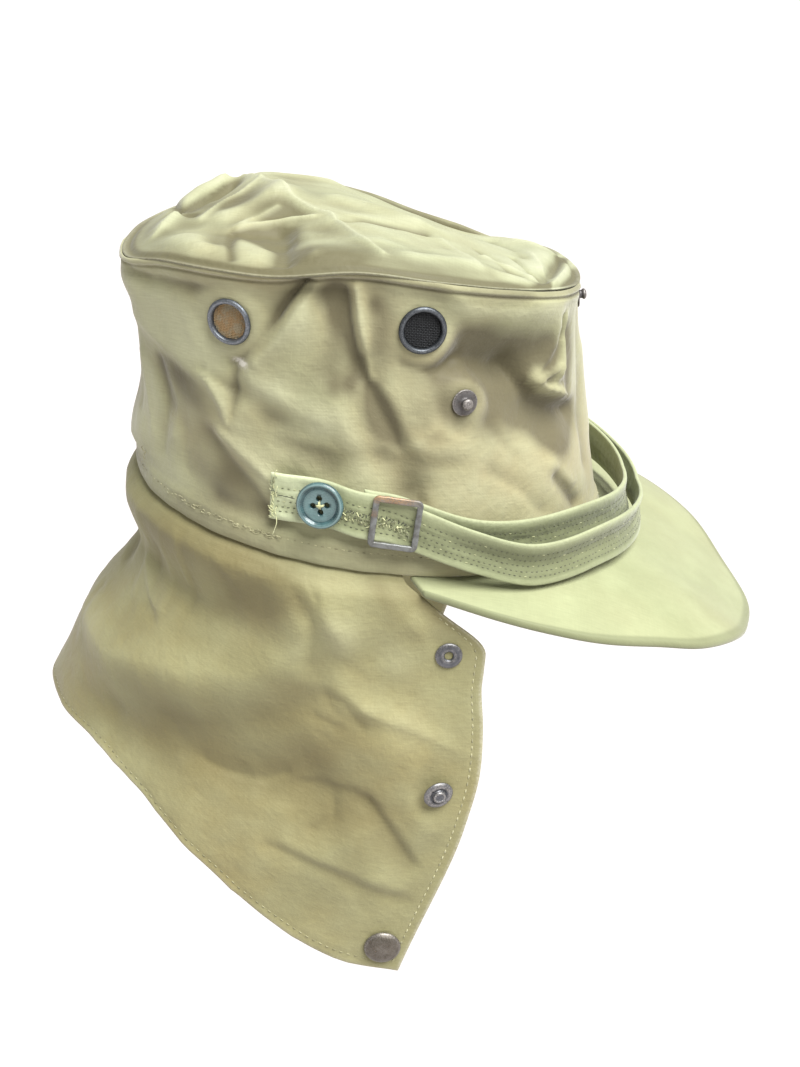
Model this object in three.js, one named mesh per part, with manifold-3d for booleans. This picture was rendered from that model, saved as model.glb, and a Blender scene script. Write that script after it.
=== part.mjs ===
// Field cap with a neck flap: a soft crown and top, a stiff peak, a chin strap and metal fittings.
// Millimetres, +X forward over the peak, -Y the wearer's right, +Z up.
// The origin is the middle of the head opening, in the plane of the crown's lower edge.

import * as THREE from 'three';
import { mergeVertices } from 'three/addons/utils/BufferGeometryUtils.js';
import Module from 'manifold-3d';

const wasm = await Module();
wasm.setup();

// Driving dimensions
const clothWall = 2;            // doubled cloth of the crown and its top
const flapWall = 1.8;
const peakThick = 3;
const seamGap = 0.3;            // air between pieces that touch on the real cap
const openingMid = 1.5;         // centre of the head opening, along X
const openingHalfLength = 97;
const openingHalfWidth = 86;
const noseDown = 0.14;          // fall of the opening's plane for each millimetre forward
const nominalWall = 105;        // height of the side panel, for the fold charts
const bandRise = 0.09;          // top of the turned hem, as a share of the wall's height
const bandProud = 1.3;
const backWaist = 4;            // how far the side panel draws in at half its height
const frontWaist = 1.4;
const ridgeProud = 1.4;         // the seam ridge round the top panel
const topMiddle = 111;          // height of the top panel's middle
const tuckDepth = 6;            // how far the flap reaches up inside the crown
const strapWidth = 17.6;
const strapThick = 1.6;
const buttonWidth = 18;
const ventWidth = 17.5;
const studPlateWidth = 10;

// Sections of the top seam, one for each turn round the crown (degrees, 0 at the front).
// reach is the distance from the crown's axis, height is above the origin.
const seamSections = [
  { turn: -180, reach: 89.5, height: 105.5 },
  { turn: -157, reach: 94.0, height: 106.0 },
  { turn: -143, reach: 89.0, height: 109.5 },
  { turn: -129, reach: 84.0, height: 110.0 },
  { turn: -113, reach: 79.0, height: 109.5 },
  { turn: -90, reach: 75.0, height: 111.5 },
  { turn: -67, reach: 77.5, height: 106.5 },
  { turn: -51, reach: 79.5, height: 101.5 },
  { turn: -38, reach: 82.5, height: 97.5 },
  { turn: -25, reach: 84.0, height: 93.5 },
  { turn: -12, reach: 84.0, height: 90.0 },
  { turn: 0, reach: 83.5, height: 89.0 },
  { turn: 12, reach: 82.5, height: 88.5 },
  { turn: 28, reach: 83.0, height: 87.0 },
  { turn: 50, reach: 80.0, height: 84.5 },
  { turn: 72, reach: 76.0, height: 90.0 },
  { turn: 90, reach: 75.5, height: 98.0 },
  { turn: 111, reach: 79.0, height: 104.5 },
  { turn: 130, reach: 84.0, height: 105.5 },
  { turn: 149, reach: 89.0, height: 103.5 },
  { turn: 165, reach: 90.0, height: 103.5 },
];

// Folds of the side panel: a line from one end to the other on a chart of turn (degrees) and
// rise (share of the wall), with its width and how far it stands out (mm, minus is a valley).
const sideFolds = [
  { turn: -148, rise: 0.93, endTurn: -121, endRise: 0.9, width: 7, out: -3 },
  { turn: -115, rise: 0.86, endTurn: -122, endRise: 0.66, width: 5, out: -5 },
  { turn: -122, rise: 0.62, endTurn: -123, endRise: 0.39, width: 6, out: -1.6 },
  { turn: -91, rise: 0.92, endTurn: -87, endRise: 0.68, width: 5, out: -3 },
  { turn: -151, rise: 0.6, endTurn: -151, endRise: 0.2, width: 7, out: -2.5 },
  { turn: -163, rise: 0.72, endTurn: -160, endRise: 0.25, width: 7, out: 1.8 },
  { turn: -150, rise: 0.71, endTurn: -129, endRise: 0.45, width: 8, out: -2.5 },
  { turn: -116, rise: 0.5, endTurn: -98, endRise: 0.35, width: 8, out: -3 },
  { turn: -109, rise: 0.28, endTurn: -97, endRise: 0.17, width: 7, out: -2 },
  { turn: -123, rise: 0.3, endTurn: -108, endRise: 0.15, width: 6, out: 1.6 },
  { turn: -88, rise: 0.6, endTurn: -78, endRise: 0.3, width: 9, out: -3 },
  { turn: -66, rise: 0.71, endTurn: -44, endRise: 0.66, width: 5, out: -3 },
  { turn: -47, rise: 0.82, endTurn: -39, endRise: 0.54, width: 9, out: -6 },
  { turn: -39, rise: 0.54, endTurn: -22, endRise: 0.45, width: 8, out: -5 },
  { turn: -30, rise: 0.95, endTurn: -25, endRise: 0.62, width: 5, out: 3 },
  { turn: -39, rise: 0.67, endTurn: -28, endRise: 0.71, width: 5, out: 2.5 },
  { turn: -26, rise: 0.25, endTurn: -26, endRise: 0.21, width: 9, out: -2 },
  { turn: -180, rise: 0.2, endTurn: -170, endRise: 0.19, width: 16, out: 3.5 },
  { turn: -170, rise: 0.9, endTurn: -158, endRise: 0.91, width: 9, out: 3.5 },
];

// Folds of the top panel: a line from one end to the other in plan, its width and its height.
const topFolds = [
  { x: -46, y: 50, endX: -15, endY: 5, width: 9, up: 3 },
  { x: -15, y: 5, endX: 4, endY: -48, width: 8, up: 3 },
  { x: -76, y: -20, endX: -60, endY: 55, width: 5, up: 2.5 },
  { x: -70, y: 0, endX: -48, endY: 52, width: 5, up: -3 },
  { x: -52, y: -15, endX: -35, endY: -2, width: 6, up: 3 },
  { x: -35, y: -2, endX: -15, endY: 5, width: 6, up: 3 },
  { x: -34, y: -33, endX: -24, endY: -42, width: 9, up: -5 },
  { x: -52, y: -34, endX: -53, endY: -47, width: 6, up: -3 },
  { x: -10, y: 5, endX: 20, endY: -8, width: 6, up: 2 },
  { x: 48, y: -54, endX: 68, endY: -28, width: 6, up: -3 },
  { x: 20, y: 30, endX: 55, endY: 22, width: 14, up: -3 },
];
const topPuff = { x: -42, y: 14, width: 40, up: 7.5 };

// Sections of the neck flap, from the middle of the back to the front edge, on either side.
// back is how far round from the back it leaves the crown (degrees); it flares from bend to end;
// roll is how far it stands out just under the crown, and bow how far its lower part bellies.
const flapSections = [
  {
    share: 0, back: 0, bendX: -97, bendY: 0, bendZ: -20,
    endX: -144, endY: 0, endZ: -96, roll: 4, bow: 2,
  },
  {
    share: 0.13, back: 19, bendX: -92, bendY: 30, bendZ: -21,
    endX: -134, endY: 31, endZ: -96, roll: 4, bow: 2,
  },
  {
    share: 0.26, back: 36, bendX: -79, bendY: 53, bendZ: -23,
    endX: -115, endY: 58, endZ: -98.5, roll: 3, bow: 3,
  },
  {
    share: 0.38, back: 51, bendX: -61, bendY: 70, bendZ: -27,
    endX: -96, endY: 76, endZ: -107, roll: 3, bow: 4,
  },
  {
    share: 0.5, back: 65, bendX: -40, bendY: 82, bendZ: -31,
    endX: -75, endY: 91, endZ: -124.5, roll: 3, bow: 4,
  },
  {
    share: 0.63, back: 77, bendX: -20, bendY: 88, bendZ: -34,
    endX: -50, endY: 99, endZ: -148, roll: 2, bow: 5,
  },
  {
    share: 0.76, back: 87, bendX: 3, bendY: 90, bendZ: -36,
    endX: -28, endY: 101, endZ: -167.5, roll: 2, bow: 6,
  },
  {
    share: 0.88, back: 94, bendX: 25, bendY: 90, bendZ: -36,
    endX: -9, endY: 101, endZ: -179.5, roll: 1, bow: 8,
  },
  {
    share: 1, back: 100, bendX: 45.5, bendY: 88, bendZ: -36,
    endX: 12.7, endY: 100, endZ: -185.5, roll: 0, bow: 11,
  },
];

// Folds of the flap on a chart of share (minus on the wearer's right) and drop (0 at the top),
// with the width and how far each stands out (mm, minus is a valley).
const flapFolds = [
  { share: -0.05, drop: 0.14, endShare: -0.04, endDrop: 0.34, width: 6, out: -3 },
  { share: -0.18, drop: 0.12, endShare: -0.2, endDrop: 0.3, width: 6, out: 2.5 },
  { share: -0.28, drop: 0.12, endShare: -0.27, endDrop: 0.26, width: 6, out: -2.5 },
  { share: -0.3, drop: 0.48, endShare: -0.6, endDrop: 0.4, width: 16, out: 4 },
  { share: -0.3, drop: 0.7, endShare: -0.62, endDrop: 0.62, width: 15, out: -4 },
  { share: -0.62, drop: 0.6, endShare: -0.85, endDrop: 0.68, width: 7, out: -3 },
  { share: -0.7, drop: 0.3, endShare: -0.9, endDrop: 0.5, width: 12, out: 2.5 },
];
const flapLength = 210;         // from the middle of the back to a front edge
const flapDrop = 165;           // from the crown to the hem, at the sides

// Sections of the peak, from the middle of the front to its corner, on either side.
const peakSections = [
  { share: 0, turn: 0, edgeX: 168.5, edgeY: 0, edgeZ: -60.5 },
  { share: 0.12, turn: 9, edgeX: 163, edgeY: 27, edgeZ: -56 },
  { share: 0.25, turn: 18, edgeX: 152, edgeY: 55, edgeZ: -46 },
  { share: 0.38, turn: 28, edgeX: 133, edgeY: 76, edgeZ: -37.5 },
  { share: 0.5, turn: 37, edgeX: 113, edgeY: 85, edgeZ: -31 },
  { share: 0.62, turn: 46, edgeX: 92, edgeY: 92, edgeZ: -25.5 },
  { share: 0.75, turn: 56, edgeX: 72, edgeY: 95, edgeZ: -19.5 },
  { share: 0.88, turn: 66, edgeX: 50, edgeY: 95, edgeZ: -13 },
  { share: 1, turn: 77, edgeX: 23.5, edgeY: 90, edgeZ: -6 },
];
const peakBow = 3;

// Sections of the chin strap's two layers: lift is the air between the layer and the crown.
const outerRun = [
  { turn: 0, lift: 15.5, height: -10 },
  { turn: 14, lift: 14.5, height: -7.5 },
  { turn: 32, lift: 13, height: -2.5 },
  { turn: 51, lift: 10.5, height: 0 },
  { turn: 64, lift: 7, height: 8.5 },
  { turn: 82, lift: 3.2, height: 21.5 },
  { turn: 91, lift: 2.9, height: 24.5 },
  { turn: 100, lift: 0.5, height: 27.5 },
  { turn: 113, lift: 0.5, height: 28.5 },
];
const innerRun = [
  { turn: 0, lift: 10.5, height: -4 },
  { turn: 14, lift: 9.5, height: -1.5 },
  { turn: 32, lift: 6, height: 3.5 },
  { turn: 51, lift: 2.5, height: 6 },
  { turn: 64, lift: 2, height: 11 },
  { turn: 80, lift: 0.5, height: 21 },
  { turn: 89, lift: 0.5, height: 24 },
];

// Colours and finishes, and the places of the fittings on the wearer's right
const finishes = {
  crownCloth: { color: 0xa9a67a, roughness: 0.9, metalness: 0 },
  peakCloth: { color: 0xb4bb86, roughness: 0.85, metalness: 0 },
  fittingMetal: { color: 0x5d6260, roughness: 0.45, metalness: 0.8 },
  ventMesh: { color: 0x3a3f3c, roughness: 0.6, metalness: 0.7 },
  buttonPlastic: { color: 0x23403e, roughness: 0.35, metalness: 0 },
};
const ventPlaces = [
  { name: 'vent_rear', x: -47, y: -68, z: 92 },
  { name: 'vent_front', x: 22.7, y: -78, z: 91 },
];
const studPlace = { name: 'stud', x: 39.6, y: -76, z: 63 };
const frontStudPlace = { x: 87, y: 0, z: 80 };
const snapPlaces = [
  { name: 'snap_ring', x: 32.7, y: -90, z: -34.5 },
  { name: 'snap_post', x: 29, y: -97, z: -94.5 },
  { name: 'snap_cap', x: 6.5, y: -100, z: -171 },
];

const radians = (degrees) => (degrees * Math.PI) / 180;
const smooth = (t) => t * t * (3 - 2 * t);
const share = (low, high, value) => Math.min(1, Math.max(0, (value - low) / (high - low)));

// A smooth line through rows of a table: the value of one column where key has the given value.
function column(rows, key, name, at, period = 0) {
  const count = rows.length;
  const row = (k) => rows[period ? (k + count) % count : Math.min(count - 1, Math.max(0, k))];
  const place = (k) => row(k)[key] + (period ? period * Math.floor(k / count) : 0);
  const value = (k) => row(k)[name];
  const slope = (k) => (value(k + 1) - value(k - 1)) / (place(k + 1) - place(k - 1));
  let k = 0;
  while (k < count - (period ? 1 : 2) && at >= place(k + 1)) {
    k += 1;
  }
  const step = place(k + 1) - place(k);
  const s = (at - place(k)) / step;
  const start = (2 * s ** 3 - 3 * s ** 2 + 1) * value(k) + (s ** 3 - 2 * s ** 2 + s) * step * slope(k);
  const end = (3 * s ** 2 - 2 * s ** 3) * value(k + 1) + (s ** 3 - s ** 2) * step * slope(k + 1);
  return start + end;
}

// Rows for both sides of the cap from the rows of the left side, where the first row is the middle
function bothSides(rows, key, turnedOver) {
  const right = rows.slice(1).map((row) => {
    const turned = { ...row };
    for (const name of [key, ...turnedOver]) {
      turned[name] = -row[name];
    }
    return turned;
  });
  return [...right.reverse(), ...rows];
}

// How near a point is to a line, as a soft hill: 1 on the line, falling off over the width.
function hill(px, py, ax, ay, bx, by, width) {
  const length = (bx - ax) ** 2 + (by - ay) ** 2;
  const along = length > 0 ? ((px - ax) * (bx - ax) + (py - ay) * (by - ay)) / length : 0;
  const t = Math.min(1, Math.max(0, along));
  const away = (px - ax - t * (bx - ax)) ** 2 + (py - ay - t * (by - ay)) ** 2;
  return Math.exp(-away / width ** 2);
}

const wrapTurn = (turn) => ((((turn + 180) % 360) + 360) % 360) - 180;
const seamReach = (turn) => column(seamSections, 'turn', 'reach', wrapTurn(turn), 360);
const seamHeight = (turn) => column(seamSections, 'turn', 'height', wrapTurn(turn), 360);

// Distance from the origin to the head opening's oval, in the direction of a turn
function openingReach(turn) {
  const c = Math.cos(radians(turn));
  const s = Math.sin(radians(turn));
  const a = (c / openingHalfLength) ** 2 + (s / openingHalfWidth) ** 2;
  const b = (-2 * openingMid * c) / openingHalfLength ** 2;
  const d = (openingMid / openingHalfLength) ** 2 - 1;
  return (-b + Math.sqrt(b * b - 4 * a * d)) / (2 * a);
}

const openingHeight = (turn) => -noseDown * openingReach(turn) * Math.cos(radians(turn));

// The crown's side without its folds: distance from the axis at a turn and a rise
function plainReach(turn, rise) {
  const low = openingReach(turn);
  const front = 0.5 + 0.5 * Math.cos(radians(turn));
  const waist = backWaist + (frontWaist - backWaist) * front;
  return low + (seamReach(turn) - low) * rise - waist * Math.sin(Math.PI * rise);
}

// The cloth lies flat round a fitting, so folds fade out there.
const middleReach = 82;
const millimetresPerDegree = radians(1) * middleReach;
const flatSpots = [];
function clothFree(turn, rise) {
  let free = share(0.06, 0.16, rise);
  for (const spot of flatSpots) {
    const across = wrapTurn(turn - spot.turn) * millimetresPerDegree;
    const along = (rise - spot.rise) * nominalWall;
    free *= smooth(share(spot.radius * 0.8, spot.radius * 1.7, Math.hypot(across, along)));
  }
  return free;
}

function foldedOut(turn, rise) {
  const seen = turn < 0 ? 1 : 0.5;      // the folds of the far side are shallower
  let out = 0;
  for (const f of sideFolds) {
    out += f.out * hill(
      -Math.abs(turn) * millimetresPerDegree, rise * nominalWall,
      f.turn * millimetresPerDegree, f.rise * nominalWall,
      f.endTurn * millimetresPerDegree, f.endRise * nominalWall, f.width);
  }
  return out * seen;
}

function crownReach(turn, rise) {
  const at = wrapTurn(turn);
  const band = bandProud * (1 - smooth(share(bandRise, bandRise + 0.03, rise)));
  const ridge = ridgeProud * smooth(share(0.955, 0.985, rise));
  return plainReach(at, rise) + foldedOut(at, rise) * clothFree(at, rise) + band + ridge;
}

function crownPoint(turn, rise, inward = 0) {
  const reach = crownReach(turn, rise) - inward;
  const low = openingHeight(turn);
  const height = low + (seamHeight(turn) - low) * rise;
  return new THREE.Vector3(
    reach * Math.cos(radians(turn)), reach * Math.sin(radians(turn)), height);
}

// The top panel: share 0 on the seam, 1 in the middle
function topPoint(turn, inShare) {
  const reach = (seamReach(turn) + ridgeProud) * (1 - inShare);
  const x = reach * Math.cos(radians(turn));
  const y = reach * Math.sin(radians(turn));
  let rise = topPuff.up * hill(x, y, topPuff.x, topPuff.y, topPuff.x, topPuff.y, topPuff.width);
  for (const f of topFolds) {
    rise += f.up * hill(x, y, f.x, f.y, f.endX, f.endY, f.width);
  }
  const edge = seamHeight(turn) + seamGap;
  const height = edge + (topMiddle - edge) * smooth(inShare) + rise * smooth(share(0.02, 0.22, inShare));
  return new THREE.Vector3(x, y, height + clothWall);
}

// The neck flap: share -1 to 1 round the back, drop 0 inside the crown to 1 at the hem
const flapDrops = [0, 0.045, 0.1, 0.22, 0.6, 1];
const flapRound = bothSides(flapSections, 'share', ['back', 'bendY', 'endY']);
function flapSpine(flapShare, drop) {
  const of = (name) => column(flapRound, 'share', name, flapShare);
  const turn = wrapTurn(180 - of('back'));
  const low = openingHeight(turn);
  const tuckRise = tuckDepth / (seamHeight(turn) - low);
  const inside = crownReach(turn, 0) - clothWall - seamGap;
  const tucked = crownReach(turn, tuckRise) - clothWall - 2 * seamGap;
  const c = Math.cos(radians(turn));
  const s = Math.sin(radians(turn));
  const bend = { x: of('bendX'), y: of('bendY'), z: of('bendZ') };
  const hem = { x: of('endX'), y: of('endY'), z: of('endZ') };
  const flare = Math.hypot(hem.x - bend.x, hem.z - bend.z);
  const bellyX = (-(hem.z - bend.z) / flare) * of('bow');
  const bellyZ = ((hem.x - bend.x) / flare) * of('bow');
  const toward = 2 * smooth(share(0.35, 0.6, Math.abs(flapShare))) - 1;
  const rollDrop = 9;
  const rollShare = rollDrop / (low - bend.z);
  const rollOut = (clothWall + of('roll')) * (1 - rollShare);
  const rows = [
    { drop: flapDrops[0], x: tucked * c, y: tucked * s, z: low + tuckDepth },
    { drop: flapDrops[1], x: inside * c, y: inside * s, z: low - 1.5 },
    {
      drop: flapDrops[2],
      x: inside * c + (bend.x - inside * c) * rollShare + rollOut * c,
      y: inside * s + (bend.y - inside * s) * rollShare + rollOut * s,
      z: low - rollDrop,
    },
    { drop: flapDrops[3], x: bend.x, y: bend.y, z: bend.z },
    {
      drop: flapDrops[4],
      x: bend.x + (hem.x - bend.x) * 0.48 + toward * bellyX,
      y: bend.y * 1.017 + (hem.y - bend.y) * 0.48,
      z: bend.z + (hem.z - bend.z) * 0.48 + toward * bellyZ,
    },
    { drop: flapDrops[5], x: hem.x, y: hem.y, z: hem.z },
  ];
  return new THREE.Vector3(
    column(rows, 'drop', 'x', drop),
    column(rows, 'drop', 'y', drop),
    column(rows, 'drop', 'z', drop));
}

function flapPoint(flapShare, drop) {
  const p = flapSpine(flapShare, drop);
  const seen = flapShare < 0 ? 1 : 0.5;
  let out = 0;
  for (const f of flapFolds) {
    out += f.out * hill(
      -Math.abs(flapShare) * flapLength, drop * flapDrop,
      f.share * flapLength, f.drop * flapDrop,
      f.endShare * flapLength, f.endDrop * flapDrop, f.width);
  }
  const away = new THREE.Vector3(p.x, p.y, 0).normalize();
  const free = share(0.06, 0.16, drop) * share(0, 0.08, 1 - Math.abs(flapShare));
  return p.addScaledVector(away, out * seen * free);
}

// The peak: share -1 to 1 from corner to corner, out 0 under the crown to 1 at the edge
const peakRound = bothSides(peakSections, 'share', ['turn', 'edgeY']);
function peakPoint(peakShare, out) {
  const of = (name) => column(peakRound, 'share', name, peakShare);
  const turn = of('turn');
  const reach = openingReach(turn) + bandProud - clothWall;
  const root = new THREE.Vector3(
    reach * Math.cos(radians(turn)), reach * Math.sin(radians(turn)), openingHeight(turn) - seamGap - 0.1);
  const edge = new THREE.Vector3(of('edgeX'), of('edgeY'), of('edgeZ'));
  const p = root.lerp(edge, out);
  p.z += peakBow * Math.sin(Math.PI * out) * share(0, 0.4, 1 - Math.abs(peakShare));
  return p;
}

// One layer of the chin strap: way -1 to 1 from end to end, up 0 to 1 across its width
const strapEnd = (run) => run[run.length - 1].turn;
function strapPoint(run, way, up, thick = 0) {
  const rows = bothSides(run, 'turn', []);
  const turn = way * strapEnd(run);
  const height = column(rows, 'turn', 'height', turn) + (up - 0.5) * strapWidth;
  const low = openingHeight(turn);
  const rise = Math.max(0, (height - low) / (seamHeight(turn) - low));
  const clear = crownReach(turn, rise) + seamGap + 0.2;
  const reach = Math.max(clear, plainReach(turn, rise) + bandProud + column(rows, 'turn', 'lift', turn));
  const out = reach + strapThick - thick;
  return new THREE.Vector3(
    out * Math.cos(radians(turn)), out * Math.sin(radians(turn)), height);
}

const normalAt = (surface, u, v) => {
  const step = 0.004;
  const along = surface(u + step, v).sub(surface(u - step, v));
  const down = surface(u, v + step).sub(surface(u, v - step));
  return along.cross(down).normalize();
};

// A closed sheet of cloth between two skins. Each skin is a grid of points, rows by columns.
function sheetGeometry(outer, inner, closedRound) {
  const rows = outer.length;
  const columns = outer[0].length;
  const positions = [...outer.flat(), ...inner.flat()].flatMap((p) => [p.x, p.y, p.z]);
  const spans = closedRound ? columns : columns - 1;
  const index = (skin, r, c) => skin * rows * columns + r * columns + (c % columns);
  const faces = [];
  const quad = (a, b, c, d) => faces.push(a, b, c, a, c, d);
  for (let c = 0; c < spans; c += 1) {
    for (let r = 0; r < rows - 1; r += 1) {
      quad(index(0, r, c), index(0, r, c + 1), index(0, r + 1, c + 1), index(0, r + 1, c));
      quad(index(1, r, c), index(1, r + 1, c), index(1, r + 1, c + 1), index(1, r, c + 1));
    }
    quad(index(1, 0, c), index(1, 0, c + 1), index(0, 0, c + 1), index(0, 0, c));
    const last = rows - 1;
    quad(index(0, last, c), index(0, last, c + 1), index(1, last, c + 1), index(1, last, c));
  }
  for (let r = 0; r < rows - 1 && !closedRound; r += 1) {
    const last = columns - 1;
    quad(index(0, r, 0), index(0, r + 1, 0), index(1, r + 1, 0), index(1, r, 0));
    quad(index(0, r, last), index(1, r, last), index(1, r + 1, last), index(0, r + 1, last));
  }
  const geometry = new THREE.BufferGeometry();
  geometry.setAttribute('position', new THREE.Float32BufferAttribute(positions, 3));
  geometry.setIndex(faces);
  return facingOut(geometry);
}

// Turns all faces over where the body would be inside out.
function facingOut(geometry) {
  const p = geometry.getAttribute('position');
  const faces = Array.from(geometry.index.array);
  const corner = (k) => new THREE.Vector3().fromBufferAttribute(p, k);
  let volume = 0;
  for (let k = 0; k < faces.length; k += 3) {
    volume += corner(faces[k]).dot(corner(faces[k + 1]).cross(corner(faces[k + 2])));
  }
  if (volume < 0) {
    for (let k = 0; k < faces.length; k += 3) {
      [faces[k + 1], faces[k + 2]] = [faces[k + 2], faces[k + 1]];
    }
    geometry.setIndex(faces);
  }
  return geometry;
}

function grid(rowValues, columnValues, point) {
  return rowValues.map((r) => columnValues.map((c) => point(c, r)));
}

const evenly = (count, from, to) =>
  Array.from({ length: count + 1 }, (_, k) => from + ((to - from) * k) / count);

function toSolid(geometry) {
  const bare = geometry.clone();
  bare.deleteAttribute('normal');
  bare.deleteAttribute('uv');
  const merged = mergeVertices(bare, 1e-4);
  return new wasm.Manifold(new wasm.Mesh({
    numProp: 3,
    vertProperties: new Float32Array(merged.getAttribute('position').array),
    triVerts: new Uint32Array(merged.index.array),
  }));
}

function fromSolid(solid) {
  const mesh = solid.getMesh();
  const geometry = new THREE.BufferGeometry();
  geometry.setAttribute('position', new THREE.Float32BufferAttribute(mesh.vertProperties, 3));
  geometry.setIndex(Array.from(mesh.triVerts));
  return geometry;
}

// A turned fitting: its profile's points (distance from the axis, height) close on themselves.
function turned(profile, sides) {
  const points = [...profile, profile[0]].map(([x, y]) => new THREE.Vector2(x, y));
  const geometry = new THREE.LatheGeometry(points, sides);
  geometry.rotateX(Math.PI / 2);
  return geometry;
}

const cap = new THREE.Group();

function addPiece(name, geometry, finish) {
  const mesh = new THREE.Mesh(geometry, new THREE.MeshStandardMaterial(finishes[finish]));
  mesh.name = name;
  cap.add(mesh);
  return mesh;
}

// Finds where a sheet comes nearest to a place: a coarse search, then finer ones round the best.
function nearest(surface, place, uRange, vRange) {
  const target = new THREE.Vector3(place.x, place.y, place.z);
  let best = { u: (uRange[0] + uRange[1]) / 2, v: (vRange[0] + vRange[1]) / 2, away: Infinity };
  let uSpan = (uRange[1] - uRange[0]) / 2;
  let vSpan = (vRange[1] - vRange[0]) / 2;
  for (let pass = 0; pass < 6; pass += 1) {
    const centre = { ...best };
    for (const u of evenly(12, centre.u - uSpan, centre.u + uSpan)) {
      for (const v of evenly(12, centre.v - vSpan, centre.v + vSpan)) {
        const away = surface(u, v).distanceTo(target);
        if (away < best.away) {
          best = { u, v, away };
        }
      }
    }
    uSpan /= 4;
    vSpan /= 4;
  }
  return best;
}

// The pose of a flat-backed fitting that touches a sheet: its axis is the sheet's outward normal.
function seatOn(surface, spot, radius, stretch) {
  const middle = surface(spot.u, spot.v);
  const normal = normalAt(surface, spot.u, spot.v);
  if (normal.dot(new THREE.Vector3(middle.x, middle.y, 0)) < 0) {
    normal.negate();
  }
  let proud = 0;
  for (const angle of evenly(12, 0, 2 * Math.PI)) {
    for (const part of [0.5, 1]) {
      const u = spot.u + (radius * part * Math.cos(angle)) / stretch.u;
      const v = spot.v + (radius * part * Math.sin(angle)) / stretch.v;
      proud = Math.max(proud, surface(u, v).sub(middle).dot(normal));
    }
  }
  const up = new THREE.Vector3(0, 0, 1).addScaledVector(normal, -normal.z).normalize();
  const across = new THREE.Vector3().crossVectors(up, normal);
  const matrix = new THREE.Matrix4().makeBasis(across, up, normal);
  matrix.setPosition(middle.addScaledVector(normal, proud + seamGap));
  return matrix;
}

function addSeated(name, geometry, finish, seat) {
  addPiece(name, geometry, finish).applyMatrix4(seat);
}

const sides = [
  { name: 'right', y: -1 },
  { name: 'left', y: 1 },
];
const mirrored = (place, side) => ({ ...place, y: -side.y * place.y });

const ventCollar = 6.5;         // outer radius of the collar that passes through the cloth
const ventHole = 6.9;
const ventOpening = 5.9;
const crownStretch = { u: millimetresPerDegree, v: nominalWall };
const crownSurface = (turn, rise) => crownPoint(turn, rise);

// Where each fitting sits on the crown; the cloth is then laid flat there.
function crownSpots(place, turns, rises) {
  const found = nearest(crownSurface, place, turns, rises);
  return sides.map((side) => ({ name: `${place.name}_${side.name}`, u: -side.y * found.u, v: found.v }));
}
const ventSpots = ventPlaces.flatMap((place) => crownSpots(place, [-150, -50], [0.5, 0.95]));
const studSpots = crownSpots(studPlace, [-90, -40], [0.4, 0.8]);
studSpots.push({ name: 'stud_front', ...nearest(crownSurface, frontStudPlace, [-8, 8], [0.8, 0.92]) });
for (const spot of ventSpots) {
  flatSpots.push({ turn: spot.u, rise: spot.v, radius: ventWidth / 2 });
}
for (const spot of studSpots) {
  flatSpots.push({ turn: spot.u, rise: spot.v, radius: studPlateWidth / 2 });
}

// Crown side, with the holes of its four vents
const sideTurnCount = 50;
const sideRises = [0, 0.045, bandRise, bandRise + 0.03, ...evenly(7, 0.2, 0.95), 0.985, 1];
const sideTurns = evenly(sideTurnCount, -180, 180).slice(0, sideTurnCount);
const crownWall = sheetGeometry(
  grid(sideRises, sideTurns, (turn, rise) => crownPoint(turn, rise)),
  grid(sideRises, sideTurns, (turn, rise) => crownPoint(turn, rise, clothWall)), true);
let crownSolid = toSolid(crownWall);
const ventSeats = ventSpots.map((spot) => seatOn(crownSurface, spot, ventWidth / 2, crownStretch));
for (const seat of ventSeats) {
  const drill = new THREE.CylinderGeometry(ventHole, ventHole, 24, 16);
  drill.rotateX(Math.PI / 2);
  drill.applyMatrix4(seat);
  crownSolid = crownSolid.subtract(toSolid(drill));
}
addPiece('crown_side', fromSolid(crownSolid), 'crownCloth');

// Crown top, a puffed panel whose rim lies on the side panel's upper edge
const topTurnCount = 48;
const topShares = [0, 0.03, 0.09, 0.2, 0.34, 0.5, 0.7];
const topTurns = evenly(topTurnCount, -180, 180).slice(0, topTurnCount);
function crownTopGeometry() {
  const upper = grid(topShares, topTurns, topPoint);
  const lower = upper.map((row) => row.map((p) => new THREE.Vector3(p.x, p.y, p.z - clothWall)));
  const positions = [...upper.flat(), ...lower.flat()].flatMap((p) => [p.x, p.y, p.z]);
  const count = topTurns.length;
  const rows = topShares.length;
  const middle = topPoint(0, 1);
  positions.push(middle.x, middle.y, middle.z, middle.x, middle.y, middle.z - clothWall);
  const index = (skin, r, c) => (skin * rows + r) * count + (c % count);
  const faces = [];
  const quad = (a, b, c, d) => faces.push(a, b, c, a, c, d);
  for (let c = 0; c < count; c += 1) {
    for (let r = 0; r < rows - 1; r += 1) {
      quad(index(0, r, c), index(0, r, c + 1), index(0, r + 1, c + 1), index(0, r + 1, c));
      quad(index(1, r, c), index(1, r + 1, c), index(1, r + 1, c + 1), index(1, r, c + 1));
    }
    quad(index(1, 0, c), index(1, 0, c + 1), index(0, 0, c + 1), index(0, 0, c));
    faces.push(index(0, rows - 1, c), index(0, rows - 1, c + 1), 2 * rows * count);
    faces.push(index(1, rows - 1, c + 1), index(1, rows - 1, c), 2 * rows * count + 1);
  }
  const geometry = new THREE.BufferGeometry();
  geometry.setAttribute('position', new THREE.Float32BufferAttribute(positions, 3));
  geometry.setIndex(faces);
  return facingOut(geometry);
}
addPiece('crown_top', crownTopGeometry(), 'crownCloth');

// A sheet's second skin, one wall behind the first along the surface's own normal
function backed(surface, rowValues, columnValues, wall, towards) {
  return grid(rowValues, columnValues, (u, v) => {
    const normal = normalAt(surface, u, v);
    const p = surface(u, v);
    if (normal.dot(towards(p)) < 0) {
      normal.negate();
    }
    return p.addScaledVector(normal, wall);
  });
}

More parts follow.
